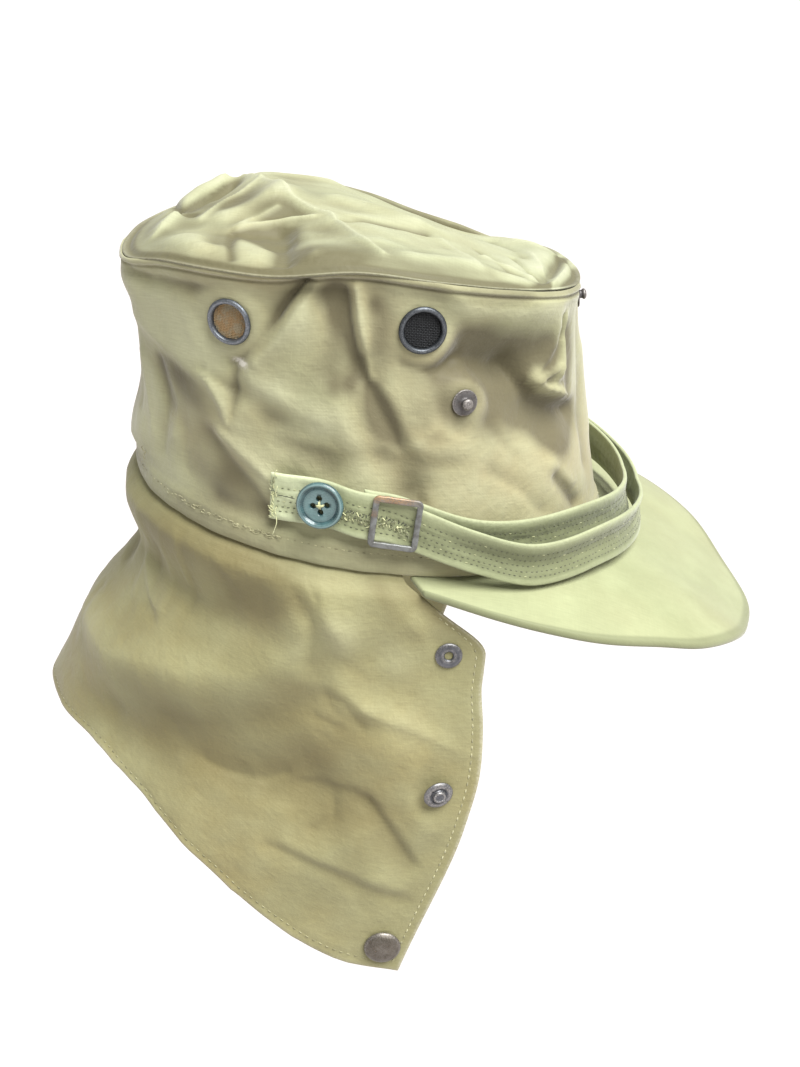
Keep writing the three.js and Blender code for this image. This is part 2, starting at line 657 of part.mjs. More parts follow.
// Neck flap
const flapRows = [0, 0.045, 0.075, 0.11, 0.16, 0.22, 0.31, 0.42, 0.54, 0.66, 0.78, 0.9, 1];
const flapColumns = evenly(38, -1, 1);
const towardAxis = (p) => new THREE.Vector3(-p.x, -p.y, 0);
const flapOuter = grid(flapRows, flapColumns, flapPoint);
const flapInner = backed(flapPoint, flapRows, flapColumns, flapWall, towardAxis);
addPiece('neck_flap', sheetGeometry(flapOuter, flapInner, false), 'crownCloth');

// Peak
const peakRows = evenly(6, 0, 1);
const peakColumns = evenly(24, -1, 1);
const downward = new THREE.Vector3(0, 0, -peakThick);
const peakTop = grid(peakRows, peakColumns, peakPoint);
const peakUnder = grid(peakRows, peakColumns, (u, v) => peakPoint(u, v).add(downward));
addPiece('peak', sheetGeometry(peakTop, peakUnder, false), 'peakCloth');

// Chin strap, two layers that part in front of the buckle
for (const [name, run] of [['chin_strap_outer', outerRun], ['chin_strap_inner', innerRun]]) {
  const ways = evenly(40, -1, 1);
  const across = [0, 0.5, 1];
  addPiece(name, sheetGeometry(
    grid(across, ways, (way, up) => strapPoint(run, way, up)),
    grid(across, ways, (way, up) => strapPoint(run, way, up, strapThick)), false), 'peakCloth');
}
const outerFace = (way, up) => strapPoint(outerRun, way, up);
const outerStretch = { u: radians(strapEnd(outerRun)) * openingHalfWidth, v: strapWidth };

// Slide buckle, a flat frame on the strap
const buckleWide = 18.5;
const buckleHigh = 20;
const buckleBar = 2.2;
function buckleGeometry() {
  const x = buckleWide / 2;
  const y = buckleHigh / 2;
  const frame = new THREE.Shape();
  frame.moveTo(-x, -y).lineTo(x, -y).lineTo(x, y).lineTo(-x, y).closePath();
  const hole = new THREE.Path();
  hole.moveTo(-x + buckleBar, -y + buckleBar).lineTo(-x + buckleBar, y - buckleBar);
  hole.lineTo(x - buckleBar, y - buckleBar).lineTo(x - buckleBar, -y + buckleBar).closePath();
  frame.holes.push(hole);
  return new THREE.ExtrudeGeometry(frame, { depth: 1.6, bevelEnabled: false });
}
const buckleTurn = 82;
const buckleSpot = { u: -buckleTurn / strapEnd(outerRun), v: 0.5 };
const buckleSeat = seatOn(outerFace, buckleSpot, buckleWide / 2, outerStretch);
addSeated('strap_buckle', buckleGeometry(), 'fittingMetal', buckleSeat);

// Sewn buttons that hold the strap's two ends: a dished disc with four holes
function buttonGeometry() {
  const r = buttonWidth / 2;
  const disc = turned([
    [0.01, 0], [r - 1.6, 0], [r - 0.3, 1], [r, 1.9], [r - 0.6, 3], [r - 1.8, 3.2], [r - 3, 2.2], [0.01, 2],
  ], 16);
  let solid = toSolid(disc);
  for (const [x, y] of [[1.7, 1.7], [-1.7, 1.7], [-1.7, -1.7], [1.7, -1.7]]) {
    const drill = new THREE.CylinderGeometry(0.9, 0.9, 8, 8);
    drill.rotateX(Math.PI / 2);
    drill.translate(x, y, 1);
    solid = solid.subtract(toSolid(drill));
  }
  return fromSolid(solid);
}
const buttonTurn = 100;
for (const side of sides) {
  const spot = { u: (side.y * buttonTurn) / strapEnd(outerRun), v: 0.5 };
  const seat = seatOn(outerFace, spot, buttonWidth / 2, outerStretch);
  addSeated(`button_${side.name}`, buttonGeometry(), 'buttonPlastic', seat);
}

// Vents: a ring whose collar passes through the cloth, with a disc of wire mesh inside it
const ventRing = () => turned([
  [ventOpening, -3.2], [ventCollar, -3.2], [ventCollar, 0], [ventWidth / 2, 0], [ventWidth / 2, 0.7],
  [ventWidth / 2 - 0.8, 1.3], [ventOpening, 0.9],
], 16);
const ventDisc = () => new THREE.CylinderGeometry(ventOpening - seamGap, ventOpening - seamGap, 0.6, 16);
ventSpots.forEach((spot, k) => {
  const disc = ventDisc();
  disc.rotateX(Math.PI / 2);
  disc.translate(0, 0, -0.4);
  addSeated(`${spot.name}_ring`, ventRing(), 'fittingMetal', ventSeats[k]);
  addSeated(`${spot.name}_mesh`, disc, 'ventMesh', ventSeats[k]);
});

// Press studs: a plate with a round-headed post
const studGeometry = () => turned([
  [0.01, 0], [studPlateWidth / 2, 0], [studPlateWidth / 2, 0.6],
  [2.2, 1], [1.7, 1.8], [2.2, 2.8], [1.6, 3.7], [0.01, 4],
], 12);
for (const spot of studSpots) {
  const seat = seatOn(crownSurface, spot, studPlateWidth / 2, crownStretch);
  addSeated(spot.name, studGeometry(), 'fittingMetal', seat);
}

// Three snaps down each front edge of the flap: a socket ring, a post in a ring, and a domed cap
const snapProfiles = {
  snap_ring: [[1.6, 0], [5.3, 0], [5.3, 0.5], [4.4, 1.1], [2.3, 1.1], [1.6, 0.6]],
  snap_post: [
    [0.01, 0], [6.1, 0], [6.1, 0.6], [5.2, 1.4], [3.6, 1.5], [3, 0.9], [2.4, 2.2], [1.5, 2.9], [0.01, 3],
  ],
  snap_cap: [[0.01, 0], [7.4, 0], [7.8, 0.7], [7.1, 1.9], [4.5, 3], [0.01, 3.5]],
};
const flapStretch = { u: flapLength, v: flapDrop };
for (const side of sides) {
  for (const place of snapPlaces) {
    const range = side.y < 0 ? [-1, -0.6] : [0.6, 1];
    const spot = nearest(flapPoint, mirrored(place, side), range, [0.1, 1]);
    const profile = snapProfiles[place.name];
    const radius = Math.max(...profile.map(([x]) => x));
    const seat = seatOn(flapPoint, spot, radius, flapStretch);
    addSeated(`${place.name}_${side.name}`, turned(profile, 14), 'fittingMetal', seat);
  }
}

export default cap;
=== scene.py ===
import math
from functools import partial

import bmesh
import bpy
import numpy as np
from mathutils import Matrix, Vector


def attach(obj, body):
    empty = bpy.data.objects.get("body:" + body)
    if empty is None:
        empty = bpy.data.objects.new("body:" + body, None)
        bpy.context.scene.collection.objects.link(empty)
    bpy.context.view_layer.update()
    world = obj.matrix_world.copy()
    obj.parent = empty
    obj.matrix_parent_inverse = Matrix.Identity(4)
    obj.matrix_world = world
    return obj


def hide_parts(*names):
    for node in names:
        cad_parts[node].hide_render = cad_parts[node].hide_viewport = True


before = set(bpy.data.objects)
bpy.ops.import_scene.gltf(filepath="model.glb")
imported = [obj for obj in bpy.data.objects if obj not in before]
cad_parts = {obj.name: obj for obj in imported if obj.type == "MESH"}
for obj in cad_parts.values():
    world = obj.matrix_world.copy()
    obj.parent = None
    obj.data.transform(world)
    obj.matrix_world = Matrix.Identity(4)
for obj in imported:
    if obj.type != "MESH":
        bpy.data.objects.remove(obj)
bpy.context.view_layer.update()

# Lengths are in millimetres until a mesh is made, in the frame of the solids:
# +X forward over the peak, -Y the wearer's right, +Z up, the origin in the head opening.


def smooth(t):
    return t * t * (3 - 2 * t)


def share(low, high, value):
    return np.clip((value - low) / (high - low), 0, 1)


def ease(low, high, value):
    # share with a soft start and end
    return smooth(share(low, high, value))


def bell(value, width):
    return np.exp(-(value / width) ** 2)


def wrapTurn(turn):
    return (np.asarray(turn, float) + 180) % 360 - 180


def lineThrough(places, values, at, period=0):
    # a smooth line through rows of a table
    places = np.array(places, float)
    values = np.array(values, float)
    if period:
        places = np.concatenate([places[-3:] - period, places, places[:3] + period])
        values = np.concatenate([values[-3:], values, values[:3]])
    slopes = np.empty(len(places))
    slopes[1:-1] = (values[2:] - values[:-2]) / (places[2:] - places[:-2])
    slopes[0] = (values[1] - values[0]) / (places[1] - places[0])
    slopes[-1] = (values[-1] - values[-2]) / (places[-1] - places[-2])
    k = np.clip(np.searchsorted(places, at, side="right") - 1, 0, len(places) - 2)
    step = places[k + 1] - places[k]
    s = (at - places[k]) / step
    start = (2 * s ** 3 - 3 * s ** 2 + 1) * values[k] + (s ** 3 - 2 * s ** 2 + s) * step * slopes[k]
    end = (3 * s ** 2 - 2 * s ** 3) * values[k + 1] + (s ** 3 - s ** 2) * step * slopes[k + 1]
    return start + end


def rowAt(table, at):
    # all columns of a table, at places of its first one
    return [lineThrough(table[:, 0], column, at) for column in table.T[1:]]


def spaced(*runs):
    # places along a line, in runs of start, end and count that meet
    parts = [np.linspace(*run) for run in runs]
    return np.concatenate([part[:-1] for part in parts[:-1]] + parts[-1:])


def allRound(count):
    return np.linspace(0, 2 * math.pi, count, endpoint=False)


def bothSides(rows, flipped):
    # rows of the left side, the middle first, turned over for the right side too
    right = [[-value if k in flipped else value for k, value in enumerate(row)] for row in rows[1:]]
    return np.array(right[::-1] + [list(row) for row in rows], float)


def foldField(px, py, folds, scale=(1, 1), drawn=0.0):
    # Height of all folds at points of a chart. A fold is a path, its width, its height, and where
    # they aren't 0, how sharp its crest is (to 1) and how much wider it falls off on its left
    # (-1 to 1). With drawn, the cloth round about it is drawn along softly.
    total = np.zeros(np.broadcast(px, py).shape)
    for path, width, out, *shape in folds:
        sharp, lean = (*shape, 0, 0)[:2]
        corners = [(x * scale[0], y * scale[1]) for x, y in path]
        away = np.full(total.shape, 1e6)
        side = np.zeros(total.shape)
        for (ax, ay), (bx, by) in zip(corners[:-1], corners[1:]):
            dx, dy = bx - ax, by - ay
            length = math.hypot(dx, dy) + 1e-9
            t = np.clip(((px - ax) * dx + (py - ay) * dy) / length ** 2, 0, 1)
            ox, oy = px - ax - t * dx, py - ay - t * dy
            d = np.hypot(ox, oy)
            cross = (dx * oy - dy * ox) / length / (d + 1e-6)
            nearer = d < away
            side = np.where(nearer, cross, side)
            away = np.where(nearer, d, away)
        reach = away / (width * (1 + lean * side))
        round_ = np.exp(-reach ** 2)
        if sharp:
            cusp = np.exp(-1.6 * reach) / (1 + 0.3 * reach ** 2)
            round_ = round_ * (1 - sharp) + cusp * sharp
        if drawn:
            round_ = round_ * (1 - 0.5 * drawn) + drawn * np.exp(-(away / (6 + 1.5 * width)) ** 2)
        total += out * round_
    return total


def ripple(points, size, seed):
    # smooth random hills about one size across, from -1 to 1
    at = points / size
    low = np.floor(at)
    part = smooth(at - low)
    total = 0
    for corner in range(8):
        i, j, k = corner & 1, corner >> 1 & 1, corner >> 2
        key = (low[..., 0] + i) * 127.1 + (low[..., 1] + j) * 311.7 + (low[..., 2] + k) * 74.7 + seed * 19.3
        value = np.sin(key) * 43758.5453
        value = 2 * (value - np.floor(value)) - 1
        weight = 1
        for axis, far in enumerate((i, j, k)):
            weight = weight * (part[..., axis] if far else 1 - part[..., axis])
        total = total + weight * value
    return total


def crumpled(points, size, seed):
    # hills that meet in crisp lines, as in cloth that was pressed together
    def ridged(size, seed):
        return 0.33 - np.abs(ripple(points, size, seed))
    return ridged(size, seed) + 0.5 * ridged(size * 0.45, seed + 3)


def nearFiner(count):
    # turns all round, a little closer together on the near side
    part = np.linspace(0, 1, count, endpoint=False)
    return -180 + 360 * part + 13 * (np.cos(2 * math.pi * part) - 1)


def unit(v):
    return v / (np.linalg.norm(v, axis=-1, keepdims=True) + 1e-12)


def dots(a, b):
    return np.sum(a * b, axis=-1)


def outwards(place):
    # level, away from the middle of the head
    return unit(place * np.array([1, 1, 0]))


def facingOut(normals, place):
    return normals * np.sign(dots(normals, place * np.array([1, 1, 0])))[..., None]


# The crown: its side panel and the seam round its top
crown = {
    "wall": 2.0,                # doubled cloth
    "openingMid": 1.5,
    "openingHalfLength": 97,
    "openingHalfWidth": 86,
    "noseDown": 0.14,           # fall of the opening's plane towards the front
    "nominalWall": 105,
    "bandRise": 0.09,           # the turned hem
    "bandProud": 1.3,
    "hemThinner": 0.8,          # at its lower edge
    "stitchStep": 2.7,          # from one stitch of the hem to the next
    "backWaist": 4,
    "frontWaist": 1.4,
    "ridgeProud": 1.4,
    "welt": 0.8,                # the ridge along the seam, of the cloth itself
    "middleReach": 82,
    "behindStrap": (44, 118),   # turns between which folds stay behind the strap
    "drawnIn": 0.25,            # how much of the cloth beside a crease goes with it
    "hills": 0.2,               # height of broad unevenness
    "seam": np.array([          # turn round the crown, reach, height
        (-180, 89.5, 105.5), (-157, 94, 106), (-143, 89, 109.5), (-129, 84, 110), (-113, 79, 109.5),
        (-90, 75, 111.5), (-67, 77.5, 106.5), (-51, 79.5, 101.5), (-38, 82.5, 97.5), (-25, 84, 93.5),
        (-12, 84, 90), (0, 83.5, 89), (12, 82.5, 88.5), (28, 83, 87), (50, 80, 84.5), (72, 76, 90),
        (90, 75.5, 98), (111, 79, 104.5), (130, 84, 105.5), (149, 89, 103.5), (165, 90, 103.5),
    ]),
    "folds": [                  # path of turn and rise, width, height, sharp, lean
        ([(-148, 0.93), (-121, 0.9)], 7, -3),
        ([(-115, 0.86), (-122, 0.66)], 5, -5),
        ([(-122, 0.62), (-123, 0.39)], 6, -1.6),
        ([(-91, 0.92), (-87, 0.68)], 5, -3),
        ([(-151, 0.6), (-151, 0.2)], 7, -2.5),
        ([(-163, 0.72), (-160, 0.25)], 7, 1.8),
        ([(-150, 0.71), (-129, 0.45)], 8, -2.5),
        ([(-116, 0.5), (-98, 0.35)], 8, -3),
        ([(-109, 0.28), (-97, 0.17)], 7, -2),
        ([(-123, 0.3), (-108, 0.15)], 6, 1.6),
        ([(-88, 0.6), (-78, 0.3)], 9, -3),
        ([(-66, 0.71), (-44, 0.66)], 5, -3),
        ([(-47, 0.82), (-39, 0.54)], 9, -6),
        ([(-39, 0.54), (-22, 0.45)], 8, -5),
        ([(-30, 0.95), (-25, 0.62)], 5, 3),
        ([(-39, 0.67), (-28, 0.71)], 5, 2.5),
        ([(-26, 0.25), (-26, 0.21)], 9, -2),
        ([(-180, 0.2), (-170, 0.19)], 16, 3.5),
        ([(-170, 0.9), (-158, 0.91)], 9, 3.5),
    ],
    "creases": [                # those of the cloth itself, in place of the plain ones above
        ([(-180, 0.2), (-170, 0.19)], 16, 3.5),
        ([(-170, 0.9), (-158, 0.91)], 9, 3.5),
        ([(-163, 0.72), (-160, 0.25)], 7, 1.8),
        ([(-166, 0.85), (-163, 0.6), (-162, 0.34)], 4, -1.6, 0.2, 0.2),
        ([(-155, 0.965), (-148, 0.935), (-138, 0.925), (-128, 0.925), (-119, 0.92)], 3.6, -2.2, 0.3, -0.4),
        ([(-105, 0.985), (-110, 0.91), (-116, 0.8), (-123, 0.68)], 6, -2.0, 0, -0.5),
        ([(-105, 0.985), (-110, 0.91), (-116, 0.8), (-122, 0.7), (-125.5, 0.665)], 1.9, -2.9, 0.6, -0.4),
        ([(-101.5, 0.97), (-106, 0.89), (-112, 0.78), (-118.5, 0.69)], 2.6, 1.5, 0.3, 0.3),
        ([(-101, 0.95), (-97.5, 0.88), (-97, 0.78), (-99, 0.68)], 6, -1.5),
        ([(-133, 0.72), (-126, 0.74)], 8, 1.2),
        ([(-125.6, 0.66), (-125.5, 0.52), (-126.5, 0.42)], 2.2, -1.8, 0.5),
        ([(-133, 0.6), (-130, 0.55), (-127.5, 0.49), (-126.5, 0.43)], 2.6, 1.6, 0.6, 0.5),
        ([(-131, 0.545), (-128.4, 0.49), (-127, 0.43)], 2.2, 1.1, 0.5),
        ([(-160, 0.6), (-156, 0.4), (-154, 0.26)], 2.2, 0.8, 0.5),
        ([(-157, 0.75), (-146, 0.66), (-134, 0.58)], 5, 1.5, 0.3, 0.4),
        ([(-158, 0.66), (-150, 0.5), (-141, 0.33), (-140, 0.2)], 6, -1.2, 0, 0.3),
        ([(-151, 0.6), (-149, 0.42), (-150, 0.22)], 3, -1.2, 0.3),
        ([(-146, 0.58), (-144, 0.44), (-145, 0.3)], 3, 0.9, 0.3),
        ([(-133.5, 0.615), (-129, 0.58), (-126.3, 0.56)], 2.2, -1.6, 0.5, 0.4),
        ([(-122, 0.555), (-116, 0.51), (-109, 0.465), (-97, 0.42)], 5.5, -1.3, 0.1, 0.2),
        ([(-121, 0.62), (-111, 0.56), (-101, 0.51)], 5, 1.2, 0.2),
        ([(-133, 0.37), (-126, 0.29), (-119, 0.21), (-114, 0.13)], 5, -1.7, 0.1, -0.4),
        ([(-129, 0.39), (-121, 0.33), (-114, 0.27), (-109, 0.18)], 3.0, 1.5, 0.4, 0.3),
        ([(-110, 0.28), (-104, 0.22), (-97, 0.16)], 3.2, -1.8, 0.5, 0.3),
        ([(-129, 0.13), (-120, 0.115), (-110, 0.15)], 4, -1.6, 0.1),
        ([(-103, 0.945), (-97, 0.95), (-94, 0.93)], 4, -1.8, 0.1, -0.3),
        ([(-94, 0.94), (-93, 0.85), (-91.6, 0.76), (-90.2, 0.68)], 3.6, -2.1, 0.4, -0.7),
        ([(-91.2, 0.95), (-90.2, 0.84), (-88.8, 0.75), (-87.4, 0.66)], 2.4, 2.3, 0.6, 0.4),
        ([(-89.5, 0.71), (-86.5, 0.6), (-83, 0.52), (-78, 0.4), (-75, 0.27)], 4.6, -2.9, 0.4, 0.2),
        ([(-83, 0.62), (-78, 0.5), (-72.5, 0.38)], 4.5, 1.2, 0.3),
        ([(-99, 0.62), (-95, 0.5), (-91, 0.36)], 6, 1.3),
        ([(-78.5, 0.725), (-72, 0.708), (-64, 0.714)], 2.6, -2.8, 0.55, 0.4),
        ([(-64, 0.714), (-56, 0.71), (-48, 0.69)], 5, -2.2, 0.2, 0.4),
        ([(-64, 0.94), (-51, 0.935), (-34, 0.93)], 8, 3.0),
        ([(-66, 0.76), (-54, 0.75), (-43, 0.72)], 10, -5.0, 0, 0.35),
        ([(-44, 0.73), (-41.6, 0.665), (-38, 0.6), (-30, 0.555), (-19, 0.525)], 6, -6, 0.25, -0.4),
        ([(-54, 0.7), (-50, 0.62), (-44, 0.54), (-36, 0.48)], 8, -2.8),
        ([(-38.6, 0.672), (-35, 0.69), (-31, 0.714)], 2.2, 3.0, 0.7, 0.4),
        ([(-38.6, 0.666), (-33.5, 0.64), (-25, 0.6)], 2.6, 3.0, 0.7, 0.5),
        ([(-34, 0.675), (-27, 0.655)], 2, -1.6, 0.3),
        ([(-29, 0.9), (-28.6, 0.82), (-28.8, 0.74), (-30, 0.69)], 2.2, 2.8, 0.6, 0.5),
        ([(-31, 0.87), (-31.8, 0.81), (-34.2, 0.755), (-38.5, 0.7)], 3.4, 2.2, 0.5, -0.5),
        ([(-29.8, 0.905), (-29.6, 0.84)], 1.5, -3.2, 0.4),
        ([(-25, 0.84), (-23, 0.62)], 4, -1.8, 0.2),
        ([(-40, 0.965), (-30, 0.975), (-14, 0.965)], 5, 1.8),
        ([(-72, 0.62), (-67, 0.48), (-70, 0.34)], 9, 1.8),
        ([(-84, 0.35), (-78, 0.42), (-71, 0.52)], 2.6, 0.8, 0.5),
        ([(-60, 0.6), (-52, 0.5), (-46, 0.4)], 4, -0.9, 0.3),
        ([(-54, 0.36), (-46, 0.3), (-40, 0.2)], 4, -1.2, 0.3, 0.3),
        ([(-32, 0.3), (-24, 0.17)], 3.6, -2.8, 0.3),
        ([(-34, 0.36), (-26, 0.26)], 3, 1.1, 0.3),
        ([(-12, 0.95), (-10, 0.6), (-14, 0.3)], 5, -1.8, 0.2, 0.2),
        ([(-4, 0.7), (-2, 0.4)], 6, 1.2),
    ],
    "shadeAndStains": [                 # turn, rise, reach across and up, how much darker (or lighter): painted shade and light, and some stains
        (-147, 0.58, 9, 6, 0.8), (-136, 0.575, 8, 6, 0.3), (-129, 0.2, 14, 9, 0.5),
        (-134, 0.06, 30, 6, 0.35), (-98, 0.87, 7, 12, 0.4), (-116, 0.5, 9, 4, 0.3),
        (-100, 0.05, 30, 4, 0.4), (-75, 0.35, 6, 12, 0.3), (-52, 0.88, 16, 7, 0.7),
        (-60, 0.72, 12, 12, 1.2), (-45, 0.7, 14, 12, 1.0), (-50, 0.55, 14, 10, 0.9),
        (-28, 0.5, 12, 14, 1.8), (-42, 0.64, 6, 9, 0.8), (-24, 0.74, 7, 13, 1.1), (-34, 0.75, 5, 10, 1.2),
        (-86, 0.56, 6, 8, 0.9), (-84, 0.49, 6, 8, 0.9), (-68, 0.6, 10, 8, 0.4), (-86, 0.78, 6, 8, 0.5),
        (-70, 0.52, 12, 10, 0.5), (-84, 0.87, 6, 10, 0.7), (-148, 0.82, 12, 12, -1.0),
        (-137, 0.74, 9, 10, -1.1), (-128, 0.66, 7, 7, -0.8), (-120, 0.54, 6, 7, -0.5),
        (-157, 0.45, 11, 24, -1.2), (-164, 0.6, 7, 26, -0.7), (-113, 0.28, 5, 6, -0.4),
        (-113, 0.6, 8, 5, -0.7), (-101, 0.48, 7, 5, -0.8), (-93, 0.35, 7, 7, -0.5),
        (-142, 0.14, 14, 6, -0.5), (-120, 0.93, 8, 4, -0.4), (-106, 0.86, 3, 10, -0.5),
        (-38, 0.95, 12, 4, -0.5), (-76, 0.57, 24, 12, 0.3), (-152, 0.22, 18, 12, -0.3),
        (-134, 0.1, 16, 7, 0.3), (-60, 0.64, 10, 8, 0.5), (-33, 0.78, 5, 8, 0.6), (-80, 0.38, 6, 7, -0.5),
        (-66, 0.3, 14, 8, -0.3), (-93, 0.63, 3, 4, 0.8), (-96, 0.87, 4, 7, 0.9), (-92.5, 0.8, 2.5, 8, 0.7),
        (-86, 0.91, 3, 3, 0.6), (-142, 0.52, 9, 8, 0.7), (-136, 0.48, 6, 6, 0.6), (-127, 0.21, 11, 8, 0.5),
        (-97, 0.62, 4, 5, 0.9), (-101, 0.64, 7, 7, 0.4), (-29, 0.44, 7, 8, 1.0),
    ],
    "crumple": 0.9,             # depth of the small creases all over
    "scuff": (-123.6, 0.668),   # a pale rubbed spot
    "scuffSize": (3.4, 1.1),
    "scuffPale": 2.2,
    "columns": 450,
    "rows": 100,
}
perDegree = math.radians(1) * crown["middleReach"]
crownChart = (perDegree, crown["nominalWall"])
flatSpots = []                  # turn, rise and radius of each fitting, where the cloth lies flat


def openingReach(turn):
    a = np.radians(turn)
    long, wide, mid = crown["openingHalfLength"], crown["openingHalfWidth"], crown["openingMid"]
    p = (np.cos(a) / long) ** 2 + (np.sin(a) / wide) ** 2
    q = -2 * mid * np.cos(a) / long ** 2
    return (-q + np.sqrt(q * q - 4 * p * ((mid / long) ** 2 - 1))) / (2 * p)


def openingHeight(turn):
    return -crown["noseDown"] * openingReach(turn) * np.cos(np.radians(turn))


def seamReach(turn):
    return lineThrough(crown["seam"][:, 0], crown["seam"][:, 1], wrapTurn(turn), 360)


def seamHeight(turn):
    return lineThrough(crown["seam"][:, 0], crown["seam"][:, 2], wrapTurn(turn), 360)


def plainReach(turn, rise):
    low = openingReach(turn)
    front = 0.5 + 0.5 * np.cos(np.radians(turn))
    waist = crown["backWaist"] + (crown["frontWaist"] - crown["backWaist"]) * front
    return low + (seamReach(turn) - low) * rise - waist * np.sin(math.pi * rise)


def heightAt(turn, rise):
    low = openingHeight(turn)
    return low + (seamHeight(turn) - low) * rise


def clothFree(turn, rise, near=0.8, far=1.7, wider=0):
    free = share(0.06, 0.16, rise)
    for spotTurn, spotRise, radius in flatSpots:
        across = wrapTurn(turn - spotTurn) * perDegree
        along = (rise - spotRise) * crown["nominalWall"]
        free = free * ease(radius * near, radius * far + wider, np.hypot(across, along))
    return free


def nearShare(turn):
    # folds of the far side are half as deep as those of the near side
    return 0.5 + 0.5 * ease(-0.12, 0.12, -np.sin(np.radians(turn)))


def crownFolds(turn, rise, folds, drawn=0.0):
    px = -np.abs(wrapTurn(turn)) * perDegree
    return foldField(px, rise * crown["nominalWall"], folds, crownChart, drawn) * nearShare(turn)


def crownReach(turn, rise):
    band = crown["bandProud"] * (1 - ease(crown["bandRise"], crown["bandRise"] + 0.03, rise))
    ridge = crown["ridgeProud"] * ease(0.955, 0.985, rise)
    folded = crownFolds(turn, rise, crown["folds"]) * clothFree(turn, rise)
    return plainReach(turn, rise) + folded + band + ridge


def round3(reach, turn, height):
    a = np.radians(turn)
    return np.stack([reach * np.cos(a), reach * np.sin(a), height + 0 * a], axis=-1)


def crownPoint(turn, rise):
    return round3(crownReach(turn, rise), turn, heightAt(turn, rise))


def nearest(surface, place, uRange, vRange):
    # where a sheet comes nearest to a place: a coarse search, then finer ones
    u, v = sum(uRange) / 2, sum(vRange) / 2
    uSpan, vSpan = (uRange[1] - uRange[0]) / 2, (vRange[1] - vRange[0]) / 2
    for look in range(6):
        us, vs = np.meshgrid(np.linspace(u - uSpan, u + uSpan, 13), np.linspace(v - vSpan, v + vSpan, 13))
        away = np.linalg.norm(surface(us, vs) - np.array(place, float), axis=-1)
        best = np.unravel_index(np.argmin(away), away.shape)
        u, v = us[best], vs[best]
        uSpan, vSpan = uSpan / 4, vSpan / 4
    return float(u), float(v)


def seatOn(surface, spot, radius, stretch, gap=0.3):
    # the pose of a flat-backed fitting that touches a sheet
    u, v = spot
    e = 0.004
    across = surface(u + e, v) - surface(u - e, v)
    middle = surface(u, v)
    normal = unit(np.cross(across, surface(u, v + e) - surface(u, v - e)))
    if normal[0] * middle[0] + normal[1] * middle[1] < 0:
        normal = -normal
    angles = np.linspace(0, 2 * math.pi, 13)
    proud = 0.0
    for part in (0.5, 1):
        ring = surface(u + radius * part * np.cos(angles) / stretch[0],
                       v + radius * part * np.sin(angles) / stretch[1])
        proud = max(proud, float(np.max(dots(ring - middle, normal))))
    up = unit(np.array([0, 0, 1.0]) - normal[2] * normal)
    seat = np.eye(4)
    seat[:3, 0] = np.cross(up, normal)
    seat[:3, 1] = up
    seat[:3, 2] = normal
    seat[:3, 3] = middle + normal * (proud + gap)
    return seat


def seated(seat, points):
    # points of a fitting, at its place on the cap
    return np.asarray(points, float) @ seat[:3, :3].T + seat[:3, 3]


sides = {"right": -1, "left": 1}
places = {
    "vent_rear": (-47, -68, 92),
    "vent_front": (22.7, -78, 91),
    "stud": (39.6, -76, 63),
    "stud_front": (87, 0, 80),
    "snap_ring": (32.7, -90, -34.5),
    "snap_post": (29, -97, -94.5),
    "snap_cap": (6.5, -100, -171),
}
vent = {
    "width": 17.5,
    "hole": 7.5,                # radius of the hole in the cloth
    "wireReach": 6.65,
    "wirePitch": 0.62,
    "wireThick": 0.3,
}
studPlate = 10                  # width

crownSpots = {}
for name, turns, rises in [("vent_rear", (-150, -50), (0.5, 0.95)), ("vent_front", (-150, -50), (0.5, 0.95)),
                           ("stud", (-90, -40), (0.4, 0.8))]:
    turn, rise = nearest(crownPoint, places[name], turns, rises)
    for side, y in sides.items():
        crownSpots[f"{name}_{side}"] = (-y * turn, rise)
crownSpots["stud_front"] = nearest(crownPoint, places["stud_front"], (-8, 8), (0.8, 0.92))
for name, (turn, rise) in crownSpots.items():
    flatSpots.append((turn, rise, vent["width"] / 2 if name.startswith("vent") else studPlate / 2))
print("crown: fittings found on the cloth")


def linked(name, data):
    # a new object in the scene
    piece = bpy.data.objects.new(name, data)
    bpy.context.collection.objects.link(piece)
    return piece


def makePiece(name, points, faces, material, corners=None, marks=None, replaced=(), weld=True):
    # one object of the cap, from points in millimetres
    mesh = bpy.data.meshes.new(name)
    faces = faces.tolist() if isinstance(faces, np.ndarray) else faces
    mesh.from_pydata((np.asarray(points) * 0.001).tolist(), [], faces)
    if corners is not None:
        layer = mesh.uv_layers.new(name="weave")
        layer.data.foreach_set("uv", (np.asarray(corners, np.float32) * 0.001).ravel())
    for markName, values in (marks or {}).items():
        mark = mesh.attributes.new(markName, "FLOAT", "POINT")
        mark.data.foreach_set("value", np.asarray(values, np.float32).ravel())
    shape = bmesh.new()
    shape.from_mesh(mesh)
    if weld:
        bmesh.ops.remove_doubles(shape, verts=shape.verts, dist=2e-6)
    bmesh.ops.recalc_face_normals(shape, faces=shape.faces)
    shape.to_mesh(mesh)
    shape.free()
    mesh.shade_smooth()
    mesh.materials.append(material)
    piece = linked(name, mesh)
    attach(piece, "root")
    if replaced:
        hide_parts(*replaced)
    return piece


def tube(points, radius, sides=8):
    # a round thread along some points, tapered at its ends
    points = np.asarray(points, float)
    ways = unit(np.gradient(points, axis=0))
    aside = unit(np.cross(ways, np.array([0.31, 0.22, 0.92])))
    other = np.cross(ways, aside)
    angles = allRound(sides)[:, None]
    thick = np.full(len(points), float(radius))
    thick[0] = thick[-1] = radius * 0.35
    ring = aside[:, None] * np.cos(angles) + other[:, None] * np.sin(angles)
    shell = points[:, None] + ring * thick[:, None, None]
    faces = gridFaces(len(points), sides, True)[0].tolist()
    for start in (0, (len(points) - 1) * sides):
        for k in range(1, sides - 2, 2):
            faces.append([start, start + k, start + k + 1, start + k + 2])
    return shell.reshape(-1, 3), faces


